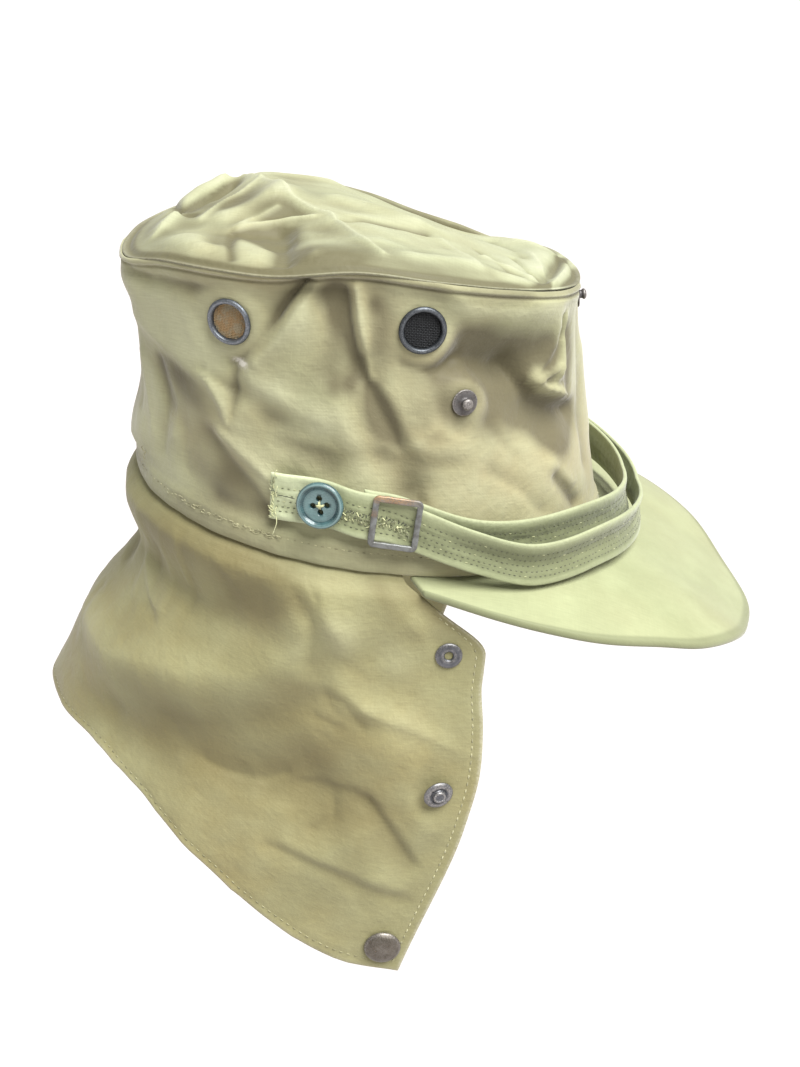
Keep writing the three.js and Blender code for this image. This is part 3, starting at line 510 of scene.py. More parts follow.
def joined(parts):
    # several point and face lists as one
    points, faces, start = [], [], 0
    for partPoints, partFaces in parts:
        points.append(np.asarray(partPoints, float))
        faces += [[corner + start for corner in face] for face in partFaces]
        start += len(partPoints)
    return np.concatenate(points), faces


def threadPiece(name, parts, tones, material):
    points, faces = joined(parts)
    tone = np.concatenate([np.full(len(part[0]), value) for part, value in zip(parts, tones)])
    return makePiece(name, points, faces, material, None, {"tone": tone}, (), weld=False)


def gridFaces(rows, columns, closedRound=False):
    # quads of a grid, and for each corner its row and unwrapped column
    spans = columns if closedRound else columns - 1
    r, c = np.meshgrid(np.arange(rows - 1), np.arange(spans), indexing="ij")
    r, c = r.ravel(), c.ravel()
    cornerRows = np.stack([r, r, r + 1, r + 1], axis=1)
    cornerColumns = np.stack([c, c + 1, c + 1, c], axis=1)
    return cornerRows * columns + cornerColumns % columns, cornerRows, cornerColumns


def gridNormals(points):
    return unit(np.cross(np.gradient(points, axis=1), np.gradient(points, axis=0)))


def roundedSheet(outer, inner, chartU, chartV, closedRound=False, steps=3, edge=1.0):
    # A closed sheet between two skins with rounded edges. Returns points, faces and weave corners,
    # and the row and column of the grid that each point comes from.
    middle, half = (outer + inner) / 2, (outer - inner) / 2
    wall = float(np.median(np.linalg.norm(half, axis=-1)))
    charts = [np.asarray(chartV, float), np.asarray(chartU, float)]
    beyond = np.arange(steps, 0, -1)
    for end in ("first", "last"):
        for axis in (0,) if closedRound else (0, 1):
            # rows (axis 0) or columns (axis 1) that close the sheet with a half round
            last, halfLast = np.take(middle, 0, axis), np.take(half, 0, axis)
            way = unit(last - np.take(middle, 1, axis)) * wall * edge
            angles = beyond / steps * math.pi / 2
            rings = np.stack([last + way * math.sin(angle) for angle in angles], axis)
            halves = np.stack([halfLast * math.cos(angle) for angle in angles], axis)
            middle, half = np.concatenate([rings, middle], axis), np.concatenate([halves, half], axis)
            chart = charts[axis]
            charts[axis] = np.concatenate([chart[0] + (chart[0] - chart[1]) * 0.3 * beyond, chart])
        middle, half = middle[::-1, ::-1], half[::-1, ::-1]
        charts = [chart[::-1] for chart in charts]
    chartV, chartU = charts
    rows, columns = middle.shape[:2]
    points = np.concatenate([(middle + half).reshape(-1, 3), (middle - half).reshape(-1, 3)])
    faces, cornerRows, cornerColumns = gridFaces(rows, columns, closedRound)
    faces = np.concatenate([faces, faces[:, ::-1] + rows * columns])
    if closedRound:
        chartU = np.append(chartU, chartU[-1] + (chartU[1] - chartU[0]))
    corner = np.stack([chartU[cornerColumns], chartV[cornerRows]], axis=-1)
    corners = np.concatenate([corner, corner[:, ::-1]]).reshape(-1, 2)
    rowOf = np.pad(np.arange(outer.shape[0]), steps, mode="edge")
    columnOf = np.pad(np.arange(outer.shape[1]), 0 if closedRound else steps, mode="edge")
    origin = np.stack(np.meshgrid(rowOf, columnOf, indexing="ij"), axis=-1).reshape(-1, 2)
    return points, faces, corners, np.concatenate([origin, origin])


def softened(field, passes, closedRound=False):
    # a field averaged with its neighbours many times
    for again in range(passes):
        padded = np.pad(field, ((1, 1), (0, 0)), mode="edge")
        field = (padded[:-2] + 2 * field + padded[2:]) / 4
        padded = np.pad(field, ((0, 0), (1, 1)), mode="wrap" if closedRound else "edge")
        field = (padded[:, :-2] + 2 * field + padded[:, 2:]) / 4
    return field


def foldShadingOf(field, passes, depth, closedRound=False):
    # -1 in valleys, 1 on ridges: painted shade in the valleys and a painted highlight on the ridges
    return np.clip((field - softened(field, passes, closedRound)) / depth, -1, 1)


def shadedAndStained(paintedShading, x, y, shadeAndStains, scale=(1, 1)):
    # Painted shade and light, and some stains: spots given by place, reach each way and how much darker.
    # An x in degrees goes on past 180, and a point so far from a spot in millimetres has none of it.
    for spotX, spotY, reachX, reachY, dark in shadeAndStains:
        awayX = wrapTurn(x - spotX) * scale[0] / reachX
        awayY = (y - spotY) * scale[1] / reachY
        paintedShading = paintedShading - dark * np.exp(-(awayX ** 2 + awayY ** 2))
    return paintedShading


def clothSheet(name, node, skins, chart, material, paintedShading, wear=None, closedRound=False, plan=False,
               edge=1.0):
    # a cloth piece from its two skins, with the painted shading and wear of its grid as marks on its points
    points, faces, corners, origin = roundedSheet(*skins, *chart, closedRound, edge=edge)
    if plan:
        corners = points[:, :2][faces.reshape(-1)]      # the weave lies level
    marks = {"paintedShading": np.clip(paintedShading, -1, 1), "wear": paintedShading * 0 if wear is None else wear}
    marks = {key: field[origin[:, 0], origin[:, 1]] for key, field in marks.items()}
    piece = makePiece(name, points, faces, material, corners, marks, [node])
    print(f"{name}:", len(piece.data.polygons), "faces")
    return piece


# Materials
def tint(red, green, blue):
    # a screen colour (0 to 255) as Blender's own
    def plain(value):
        value = value / 255
        return value / 12.92 if value <= 0.04045 else ((value + 0.055) / 1.055) ** 2.4
    return plain(red), plain(green), plain(blue), 1.0


def tinted(look):
    return {key: tint(*value) if isinstance(value, tuple) else value for key, value in look.items()}


def feed(node, sockets):
    # sets or links the inputs of a shader node
    for name, value in sockets.items():
        if isinstance(value, Shade):
            node.id_data.links.new(value.socket, node.inputs[name])
        else:
            node.inputs[name].default_value = value


def put(tree, kind, sockets=None, output=0, **settings):
    node = tree.nodes.new("ShaderNode" + kind)
    for name, value in settings.items():
        setattr(node, name, value)
    feed(node, sockets or {})
    return Shade(node.outputs[output])


class Shade:
    # an output of a shader node, which can be added to, multiplied and so on
    def __init__(self, socket):
        self.socket = socket
        self.tree = socket.id_data

    def math(self, operation, other=0.0, clamp=False):
        return put(self.tree, "Math", {0: self, 1: other}, operation=operation, use_clamp=clamp)

    def __add__(self, other):
        return self.math("ADD", other)

    def __sub__(self, other):
        return self.math("SUBTRACT", other)

    def __mul__(self, other):
        return self.math("MULTIPLY", other)

    def fromTo(self, low, high, newLow=0.0, newHigh=1.0):
        return put(self.tree, "MapRange", {0: self, 1: low, 2: high, 3: newLow, 4: newHigh}, clamp=True)

    def noise(self, scale, detail=2.0, roughness=0.5):
        return put(self.tree, "TexNoise", {"Vector": self, "Scale": scale, "Detail": detail,
                                           "Roughness": roughness})

    def stretched(self, *scale):
        return put(self.tree, "Mapping", {0: self, 3: scale})


def mixed(amount, first, second):
    return put(amount.tree, "Mix", {0: amount, 6: first, 7: second}, 2, data_type="RGBA", blend_type="MIX")


def mark(tree, name):
    return put(tree, "Attribute", None, "Fac", attribute_name=name)


def newMaterial(name):
    material = bpy.data.materials.new(name)
    material.use_nodes = True
    tree = material.node_tree
    shader = next(node for node in tree.nodes if node.type == "BSDF_PRINCIPLED")
    return material, tree, shader, put(tree, "TexCoord", None, "Object")


def finished(material, shader, height, sockets, strength=1.0, distance=0.001):
    bump = put(material.node_tree, "Bump", {"Strength": strength, "Distance": distance, "Height": height})
    feed(shader, {**sockets, "Normal": bump})
    return material


khakiLook = {
    "cloth": (156, 156, 120),
    "clothWarm": (158, 151, 115),
    "clothPale": (168, 169, 135),
    # the colours of painted shade in the folds' valleys and of a painted highlight on their ridges
    "clothShade": (86, 79, 56),
    "clothLight": (190, 191, 156),
    "clothWorn": (226, 223, 210),
    "broadScale": 16.0,
    "middleScale": 60.0,
    "blotch": 0.5,
    # how much painted shade in the valleys, and how much painted highlight on the ridges
    "valley": 0.85,
    "ridge": 0.6,
    "grain": 0.2,
    "pitch": 0.00062,
    "twill": 0.25,
    "twillStep": 0.5,
    "weave": 0.016,
    "crumpleScale": 120.0,
    "crumple": 0.5,
    "roughLow": 0.58,
    "roughHigh": 0.72,
    "sheen": 0.28,
}


def clothMaterial(name, **changes):
    look = tinted({**khakiLook, **changes})
    material, tree, shader, place = newMaterial(name)
    chart = put(tree, "UVMap", uv_map="weave")
    x, y = [put(tree, "SeparateXYZ", {0: chart}, axis) for axis in (0, 1)]
    paintedShading, wear = mark(tree, "paintedShading"), mark(tree, "wear")
    broad = place.noise(look["broadScale"], 3.0)
    middle = place.noise(look["middleScale"], 4.0)
    fine = place.noise(900.0)
    colour = mixed(broad.fromTo(0.35, 0.65), look["cloth"], look["clothWarm"])
    colour = mixed(middle.fromTo(0.4, 0.7, 0.0, look["blotch"]), colour, look["clothPale"])
    # painted shade in the valleys and a painted highlight on the ridges
    colour = mixed(paintedShading.fromTo(0.0, -1.0, 0.0, look["valley"]), colour, look["clothShade"])
    colour = mixed(paintedShading.fromTo(0.0, 1.0, 0.0, look["ridge"]), colour, look["clothLight"])
    rubbed = wear.math("MULTIPLY", fine.fromTo(0.35, 0.6, 0.3, 1.0), True)
    colour = mixed(rubbed, colour, look["clothWorn"])

    turn = 2 * math.pi / look["pitch"]
    warp = (x * turn).math("SINE")
    weft = (y * turn).math("SINE")
    rib = ((x + y) * (turn * look["twillStep"])).math("SINE")
    weave = warp * weft + rib * look["twill"]
    slub = chart.stretched(160.0, 1700.0, 1.0).noise(1.0)
    slubAcross = chart.stretched(1700.0, 160.0, 1.0).noise(1.0)
    thread = slub * 1.35 + slubAcross * 0.65
    grain = (weave * 0.12 + thread).fromTo(0.6, 1.4, -1.0, 1.0)
    colour = mixed(grain.fromTo(-1.0, 1.0, look["grain"], 0.0), colour, look["clothShade"])
    rough = middle.fromTo(0.3, 0.7, look["roughLow"], look["roughHigh"]) + grain * 0.04
    crease = (place.noise(look["crumpleScale"] * 1.6) - 0.5).math("ABSOLUTE")
    crumple = place.noise(look["crumpleScale"], 5.0, 0.6) - crease * 0.8
    height = crumple * look["crumple"] + (weave + thread * 2.0) * look["weave"]
    return finished(material, shader, height, {
        "Base Color": colour, "Roughness": rough, "Sheen Weight": look["sheen"], "Sheen Roughness": 0.45,
        "Specular IOR Level": 0.35})


khakiCloth = clothMaterial("khaki_cotton")
# a copy of the khaki cloth for the top, which faces the light: a cooler tone where light falls, and deeper
# painted shade in its valleys
litAndShadedTopCloth = clothMaterial(
    "khaki_top_cotton_lit_and_shaded", cloth=(155, 158, 126), clothWarm=(157, 155, 121), clothPale=(167, 171, 140),
    clothShade=(76, 69, 42), clothLight=(188, 191, 164), sheen=0.14, valley=0.8)
flapCloth = clothMaterial(      # darker and more saturated than the crown's
    "khaki_flap_cotton", cloth=(149, 146, 106), clothWarm=(150, 142, 99), clothPale=(160, 159, 121),
    clothShade=(92, 80, 46), clothLight=(186, 185, 147), valley=0.55, sheen=0.14)
greenLook = {
    "clothShade": (92, 96, 66),
    "clothWorn": (212, 216, 182),
    "pitch": 0.0005,
    "twill": 0.2,
    "weave": 0.012,
}
peakCloth = clothMaterial(
    "green_peak_cotton", cloth=(147, 152, 114), clothWarm=(150, 152, 115), clothPale=(166, 172, 133),
    clothLight=(186, 194, 154), blotch=0.4, crumple=0.1, **greenLook)
strapCloth = clothMaterial(
    "green_strap_cotton", cloth=(140, 147, 110), clothWarm=(143, 148, 112), clothPale=(152, 158, 122),
    clothLight=(204, 212, 174), valley=0.6, ridge=0.65, crumple=0.5, **greenLook)

greyLook = {
    "lacquer": (96, 98, 104),
    "lacquerDull": (70, 72, 76),
    "bare": (168, 164, 160),
    "rust": (122, 92, 62),
    "rustFrom": 0.86,
    "rustMost": 0.8,
    "roughLow": 0.32,
    "roughHigh": 0.55,
    "metal": 0.75,
}


def metalMaterial(name, **changes):
    look = tinted({**greyLook, **changes})
    material, tree, shader, place = newMaterial(name)
    blotch = place.noise(420.0, 5.0, 0.6)
    speck = place.noise(2200.0, 3.0, 0.6)
    colour = mixed(blotch.fromTo(0.4, 0.62), look["lacquer"], look["lacquerDull"])
    wornAndLit = mark(tree, "wear").math("MULTIPLY", speck.fromTo(0.38, 0.62, 0.2, 1.0), True)
    colour = mixed(wornAndLit, colour, look["bare"])
    rustFrom = look["rustFrom"]
    rust = (blotch + speck * 0.4).fromTo(rustFrom, rustFrom + 0.12, 0.0, look["rustMost"])
    return finished(material, shader, speck * 0.05 + blotch * 0.08, {
        "Base Color": mixed(rust, colour, look["rust"]),
        "Roughness": speck.fromTo(0.3, 0.7, look["roughLow"], look["roughHigh"]),
        "Metallic": rust.fromTo(0.0, 1.0, look["metal"], 0.1)})


greyMetal = metalMaterial("grey_lacquered_metal")
rimMetal = metalMaterial(
    "blue_grey_vent_metal", lacquer=(98, 103, 109), lacquerDull=(72, 77, 82), bare=(166, 170, 176),
    rustFrom=0.95)
darkRimMetal = metalMaterial(
    "dark_vent_metal", lacquer=(70, 74, 78), lacquerDull=(50, 54, 58), bare=(130, 134, 138), rustFrom=0.95)
studMetal = metalMaterial(
    "pale_stud_metal", lacquer=(88, 86, 86), lacquerDull=(66, 62, 60), bare=(146, 141, 136), metal=0.45)
capMetal = metalMaterial(
    "bronze_grey_snap_metal", lacquer=(98, 91, 80), lacquerDull=(74, 67, 56), rustFrom=0.84)
buckleMetal = metalMaterial(
    "lilac_grey_buckle_metal", lacquer=(124, 126, 124), lacquerDull=(98, 98, 95), bare=(182, 142, 96),
    rustFrom=0.88, metal=0.45)
rustyWire = metalMaterial(
    "rusty_vent_wire", lacquer=(166, 154, 126), lacquerDull=(156, 142, 112), bare=(178, 166, 140),
    rust=(178, 140, 90), rustFrom=0.62, rustMost=0.6, metal=0.2)
darkWire = metalMaterial(
    "dark_vent_wire", lacquer=(30, 32, 34), lacquerDull=(22, 24, 25), bare=(66, 68, 70), rustFrom=0.98,
    metal=0.15)


def buttonMaterial(deep, milky, wornAndLit):
    material, tree, shader, place = newMaterial("teal_button_plastic")
    scuff = place.stretched(900.0, 900.0, 4200.0).noise(1.0, 3.0)
    colour = mixed(place.noise(260.0, 4.0, 0.6).fromTo(0.35, 0.65), tint(*deep), tint(*milky))
    # paler where the wear mark is high: the face, and a painted highlight along the rim's top
    return finished(material, shader, scuff * 0.03, {
        "Base Color": mixed(mark(tree, "wear") * 0.8, colour, tint(*wornAndLit)),
        "Roughness": scuff.fromTo(0.35, 0.7, 0.16, 0.42), "Coat Weight": 0.2, "Coat Roughness": 0.12})


def threadMaterial(name, pale, deep):
    material, tree, shader, place = newMaterial(name)
    fuzz = place.noise(3000.0, 3.0)
    colour = mixed(mark(tree, "tone"), tint(*deep), tint(*pale))
    return finished(material, shader, fuzz, {
        "Base Color": mixed(fuzz.fromTo(0.4, 0.7, 0.0, 0.35), colour, tint(*deep)),
        "Roughness": fuzz.fromTo(0.3, 0.7, 0.7, 0.9), "Sheen Weight": 0.3}, 0.6, 0.0002)


tealPlastic = buttonMaterial(deep=(28, 52, 56), milky=(58, 88, 90), wornAndLit=(132, 158, 156))
khakiThread = threadMaterial("khaki_thread", pale=(206, 202, 160), deep=(92, 88, 58))
greenThread = threadMaterial("green_thread", pale=(214, 216, 164), deep=(60, 64, 44))
print("materials: made")


# Crown side
def crownFine(turn, rise):
    # the cloth's face, with the finer creases and a welt along the seam
    height = heightAt(turn, rise)
    base = plainReach(turn, rise)
    spot = round3(base, turn, height)
    up = rise * crown["nominalWall"]
    away = np.abs(wrapTurn(turn))
    free = clothFree(turn, rise, 1.0, 1.5, 6.5)
    folded = crownFolds(turn, rise, crown["creases"], crown["drawnIn"]) + crown["hills"] * ripple(spot, 17, 3)
    folded = folded + crown["crumple"] * crumpled(spot * np.array([1, 1, 0.7]), 26, 3)
    proud = folded - crownFolds(turn, rise, crown["folds"]) - 0.3
    strapFrom, strapTo = crown["behindStrap"]
    held = ease(strapTo, strapTo - 6, away) * share(strapFrom, strapFrom + 12, away)
    folded = folded - held * ease(0.46, 0.38, rise) * np.maximum(proud, 0)      # it stays behind the strap
    fromTop = crown["nominalWall"] - up
    welt = crown["welt"] * np.sqrt(np.clip(1 - (fromTop - 0.5) ** 2, 0, 1)) + 0.5 * ease(6, 1.5, fromTop)
    welt = welt - 0.5 * bell(fromTop - 2.0, 0.7)
    fromBand = up - crown["bandRise"] * crown["nominalWall"]
    band = crown["bandProud"] * (1 - ease(-2.4, 3.2, fromBand))
    band = band * (0.9 + 0.35 * ripple(spot * np.array([1, 1, 0.3]), 8, 41))
    band = band - crown["hemThinner"] * ease(3.2, 0, up)
    knots = 0.75 + 0.25 * np.sin(turn * perDegree * 2 * math.pi / crown["stitchStep"])
    band = band - 0.5 * knots * bell(fromBand + 2.0, 0.8)
    return round3(base + folded * free + band + welt, turn, height), folded * free


def drilled(piece, seats, radius, low, high, sides=48):
    # holes along the axes of some seats
    angles = allRound(sides)
    ring = np.stack([radius * np.cos(angles), radius * np.sin(angles), angles * 0 + low], axis=1)
    local = np.concatenate([ring, ring + np.array([0, 0, high - low])])
    faces = gridFaces(2, sides, True)[0].tolist() + [list(range(sides))[::-1], list(range(sides, 2 * sides))]
    points, faces = joined([(seated(seat, local), faces) for seat in seats])
    mesh = bpy.data.meshes.new("drill")
    mesh.from_pydata((points * 0.001).tolist(), [], faces)
    drill = linked("drill", mesh)
    cut = piece.modifiers.new("cut", "BOOLEAN")
    cut.operation = "DIFFERENCE"
    cut.solver = "MANIFOLD"
    cut.object = drill
    bpy.context.view_layer.update()
    result = bpy.data.meshes.new_from_object(piece.evaluated_get(bpy.context.evaluated_depsgraph_get()))
    piece.modifiers.clear()
    old, piece.data = piece.data, result
    bpy.data.objects.remove(drill)
    for spent in (old, mesh):
        bpy.data.meshes.remove(spent)


ventSeats = {name: seatOn(crownPoint, spot, vent["width"] / 2, crownChart)
             for name, spot in crownSpots.items() if name.startswith("vent")}
turns = nearFiner(crown["columns"])
rises = spaced((0.01, 0.15, 16), (0.15, 0.94, crown["rows"] - 38), (0.94, 0.9985, 24))
turnGrid, riseGrid = np.meshgrid(turns, rises)
sideFace, sideFolded = crownFine(turnGrid, riseGrid)
sideUp = riseGrid * crown["nominalWall"]
sideWall = crown["wall"] * (0.5 + 0.5 * ease(0.995, 0.965, riseGrid))
sideWall = sideWall - crown["hemThinner"] * ease(3.2, 0, sideUp)
fromTop = crown["nominalWall"] - sideUp
sideShading = shadedAndStained(foldShadingOf(sideFolded, 120, 2.2, True), turnGrid, riseGrid, crown["shadeAndStains"], crownChart)
# painted shade just under the seam's welt, and a wider painted shade below the seam away from the back
sideShading = sideShading - 0.5 * bell(fromTop - 2.2, 0.8)
sideShading = sideShading - 0.3 * bell(fromTop, 7) * share(130, 110, np.abs(wrapTurn(turnGrid)))
scuffTurn, scuffRise = crown["scuff"]
scuffAcross = wrapTurn(turnGrid - scuffTurn) * perDegree + (riseGrid - scuffRise) * 30
scuffUp = (riseGrid - scuffRise) * crown["nominalWall"]
scuffWide, scuffHigh = crown["scuffSize"]
scuffed = np.exp(-(scuffAcross / scuffWide) ** 4 - (scuffUp / scuffHigh) ** 2)
sideWear = 0.1 * bell(riseGrid - 0.988, 0.006) + crown["scuffPale"] * scuffed
crownSide = clothSheet("crown_side_cloth", "crown_side",
                       (sideFace, sideFace - outwards(sideFace) * sideWall[..., None]),
                       (turns * perDegree, rises * crown["nominalWall"]), khakiCloth,
                       sideShading, sideWear, closedRound=True)
drilled(crownSide, ventSeats.values(), vent["hole"], -12, 12)


# Crown top
top = {
    "middle": 111,
    "crumple": 0.6,
    "drawnIn": 0.12,            # like the crown's
    "hills": 0.2,
    "roll": 2.2,                # the panel rolls up from its seam
    "farRim": (44, 128),        # turns between which the far rim stands up
    "farRimHigh": 2.6,
    "farRimDip": 4.2,           # the hollow behind it
    "puff": (-42, 14, 40, 7.5),     # x, y, width, height
    "folds": [                      # path in plan, width, height, sharp, lean
        ([(-50, 50), (-33, 4)], 11, 3.2),
        ([(-33, 4), (-12, -20), (4, -48)], 9, 2, 0, 0.3),
        ([(-76, -20), (-60, 55)], 4.5, 2),
        ([(-70, 0), (-48, 52)], 5, -2.6),
        ([(-52, -15), (-35, -2)], 6, 2.4),
        ([(-76, 20), (-62, 40)], 9, 3),
        ([(-40, -34), (-33, -44)], 7, -2.6),
        ([(-52, -34), (-53, -47)], 6, -1.6),
        ([(-10, 5), (20, -8)], 6, 2),
        ([(48, -54), (68, -28)], 6, -2),
        ([(20, 30), (55, 22)], 14, -3),
    ],
    "creases": [
        ([(-58, 62), (-40, 20), (-28, -5), (-12, -20), (-1, -48), (8, -64)], 2.3, 1.5, 0.8),
        ([(-78, -28), (-68, 3), (-58, 42)], 2.4, 1.4, 0.8, 0.3),
        ([(-62, -16), (-56, -1), (-49, 12), (-42, 26)], 2.4, 1.4, 0.8),
        ([(-74, -4), (-64, 12), (-56, 34)], 4, -1.6, 0.2),
        ([(-46, -25), (-43, -20), (-38, -15), (-33, -11)], 2.6, 1.5, 0.7),
        ([(-70, 46), (-56, 62)], 11, -2.6),
        ([(-38, -17), (-27, -14), (-18, -16)], 4, -1.2, 0.1),
        ([(-48, -29), (-42, -24.5), (-36, -22), (-26, -20.5), (-19, -20.5)], 2.4, 1.5, 0.7, 0.5),
        ([(-42, -30), (-34, -29), (-27, -28)], 4.5, -1.4, 0.1, -0.3),
        ([(-21, -30), (-18, -40), (-16, -52), (-15, -66)], 9, 1.8, 0, 0.4),
        ([(-31, -28), (-28, -35), (-27.5, -48), (-26, -66)], 4.6, -2.6, 0.1, -0.3),
        ([(-48.5, -29), (-48, -45), (-46, -62)], 2.0, -1.5, 0.5, 0.3),
        ([(-66, -38), (-58, -52)], 7, 1.6),
        ([(-7, -26), (0, -21.5), (11, -19.5), (23, -18)], 2.6, -2.2, 0.6, 0.3),
        ([(-4, -16), (12, -12), (30, -8)], 6, 1.2, 0.2),
        ([(6, -30), (22, -36), (36, -44)], 8, 1.2),
        ([(30, -20), (38, -39), (43, -54)], 2.2, 0.9, 0.7),
        ([(44, -16), (50, -30), (56, -42)], 3, -1.2, 0.4, 0.3),
        ([(62, 33), (70, 28), (80, 20)], 2.4, 1.4, 0.6),
        ([(84, 16), (78, -13), (70, -46)], 2.2, 3.0, 0.7, 0.4),
        ([(79, 14), (73, -14), (66, -44)], 3, -3.2, 0.4),
        ([(66, -42), (57, -34), (46, -28)], 2.2, 1.3, 0.6),
        ([(67, -38), (62, -26), (58, -10)], 2.0, -1.5, 0.6),
        ([(70, -30), (68, -14), (66, 4)], 2.0, 1.3, 0.6),
        ([(20, -60), (34, -54), (47, -51), (60, -52)], 5, 1.6, 0.1),
        ([(52, 30), (60, 12), (62, -4)], 4, -1.4, 0.3),
        ([(-81, 30), (-76, 16), (-71, -6), (-66, -9)], 2.4, -2.2, 0.5),
        ([(-60, 40), (-40, 52), (-16, 58)], 5, 1.4, 0.2),
        ([(0, 44), (24, 50), (48, 46)], 4, -1.4, 0.3),
    ],
    "shadeAndStains": [                 # x, y, reach along x and y, how much darker (or lighter): painted shade and light, and some stains
        (-26, -37, 7, 16, 1.4), (-40, -35, 8, 9, 1.2), (-14, -37, 7, 10, 0.5), (-33, -10, 13, 5, 0.6),
        (-55, 0, 11, 9, 0.5), (-66, 14, 9, 16, 0.6), (-10, -63, 18, 7, 0.8), (22, -68, 18, 5, 0.5),
        (60, 20, 20, 30, -0.4), (20, 20, 30, 30, -0.2), (-76, -20, 7, 14, 0.3), (8, -19, 18, 2, 0.4),
        (-48, -42, 2.5, 16, 0.4), (62, -26, 12, 14, -0.5), (34, -58, 14, 6, 0.2), (-12, -70, 15, 4, 0.9),
        (-20, -60, 7, 8, 0.8),
    ],
    "columns": 410,
    "rows": 106,
}


def topFine(turn, inShare):
    reach = (seamReach(turn) + crown["ridgeProud"]) * (1 - inShare)
    x, y, edge = np.moveaxis(round3(reach, turn, seamHeight(turn) + 0.3), -1, 0)
    puffX, puffY, puffWidth, puffHeight = top["puff"]
    plain = foldField(x, y, top["folds"])
    rise = puffHeight * np.exp(-((x - puffX) ** 2 + (y - puffY) ** 2) / puffWidth ** 2) + plain
    height = edge + (top["middle"] - edge) * smooth(inShare)
    spot = np.stack([x, y, height], axis=-1)
    folded = foldField(x, y, top["creases"], (1, 1), top["drawnIn"]) + top["hills"] * ripple(spot, 19, 5)
    folded = folded + top["crumple"] * crumpled(spot, 24, 15)
    free = ease(0.02, 0.22, inShare)
    height = height + rise * free + folded * ease(0.02, 0.12, inShare)
    return np.stack([x, y, height + crown["wall"]], axis=-1), folded + plain * free


topTurns = nearFiner(top["columns"])
inShares = spaced((0.011, 0.1, 16), (0.1, 0.995, top["rows"] - 15))
topTurnGrid, inGrid = np.meshgrid(topTurns, inShares)
topFace, topFolded = topFine(topTurnGrid, inGrid)
fromRim = inGrid * crown["middleReach"]
topWall = crown["wall"] * (0.55 + 0.45 * ease(1, 4, fromRim))
rimFrom, rimTo = top["farRim"]
farRim = ease(rimFrom, rimFrom + 18, topTurnGrid) * ease(rimTo, rimTo - 20, topTurnGrid)
topFace[..., 2] += topWall - crown["wall"] - 0.2 * share(4, 0, fromRim) - 0.9 * bell(fromRim - 2.6, 1.1)
topFace[..., 2] += farRim * top["farRimHigh"] * ease(3.6, 1.8, fromRim)
topFace[..., 2] -= farRim * top["farRimDip"] * bell(fromRim - 7.5, 4.6)
topFace[..., 2] += top["roll"] * ease(2.6, 13, fromRim) * ease(45, 16, fromRim)
# painted shade in the groove inside the rim, on the far rim's inner side, towards the back of the top, turned
# from the light, and along the seam elsewhere
topShading = foldShadingOf(topFolded, 60, 1.3, True) - 0.7 * bell(fromRim - 2.6, 0.9)
topShading = topShading - 0.7 * farRim * ease(7.5, 4.2, fromRim) - 0.3 * ease(-10, -55, topFace[..., 0])
topShading = topShading - (1 - farRim) * (0.45 * bell(fromRim, 6) + 0.5 * bell(fromRim - 3.2, 1.6))
topShading = shadedAndStained(topShading, topFace[..., 0], topFace[..., 1], top["shadeAndStains"])
topWear = 0.1 * bell(fromRim - 1.0, 0.8) * (1 - farRim)
clothSheet("crown_top_cloth", "crown_top", (topFace, topFace - topWall[..., None] * np.array([0, 0, 1])),
           (topTurns, inShares), litAndShadedTopCloth, topShading, topWear, closedRound=True, plan=True)


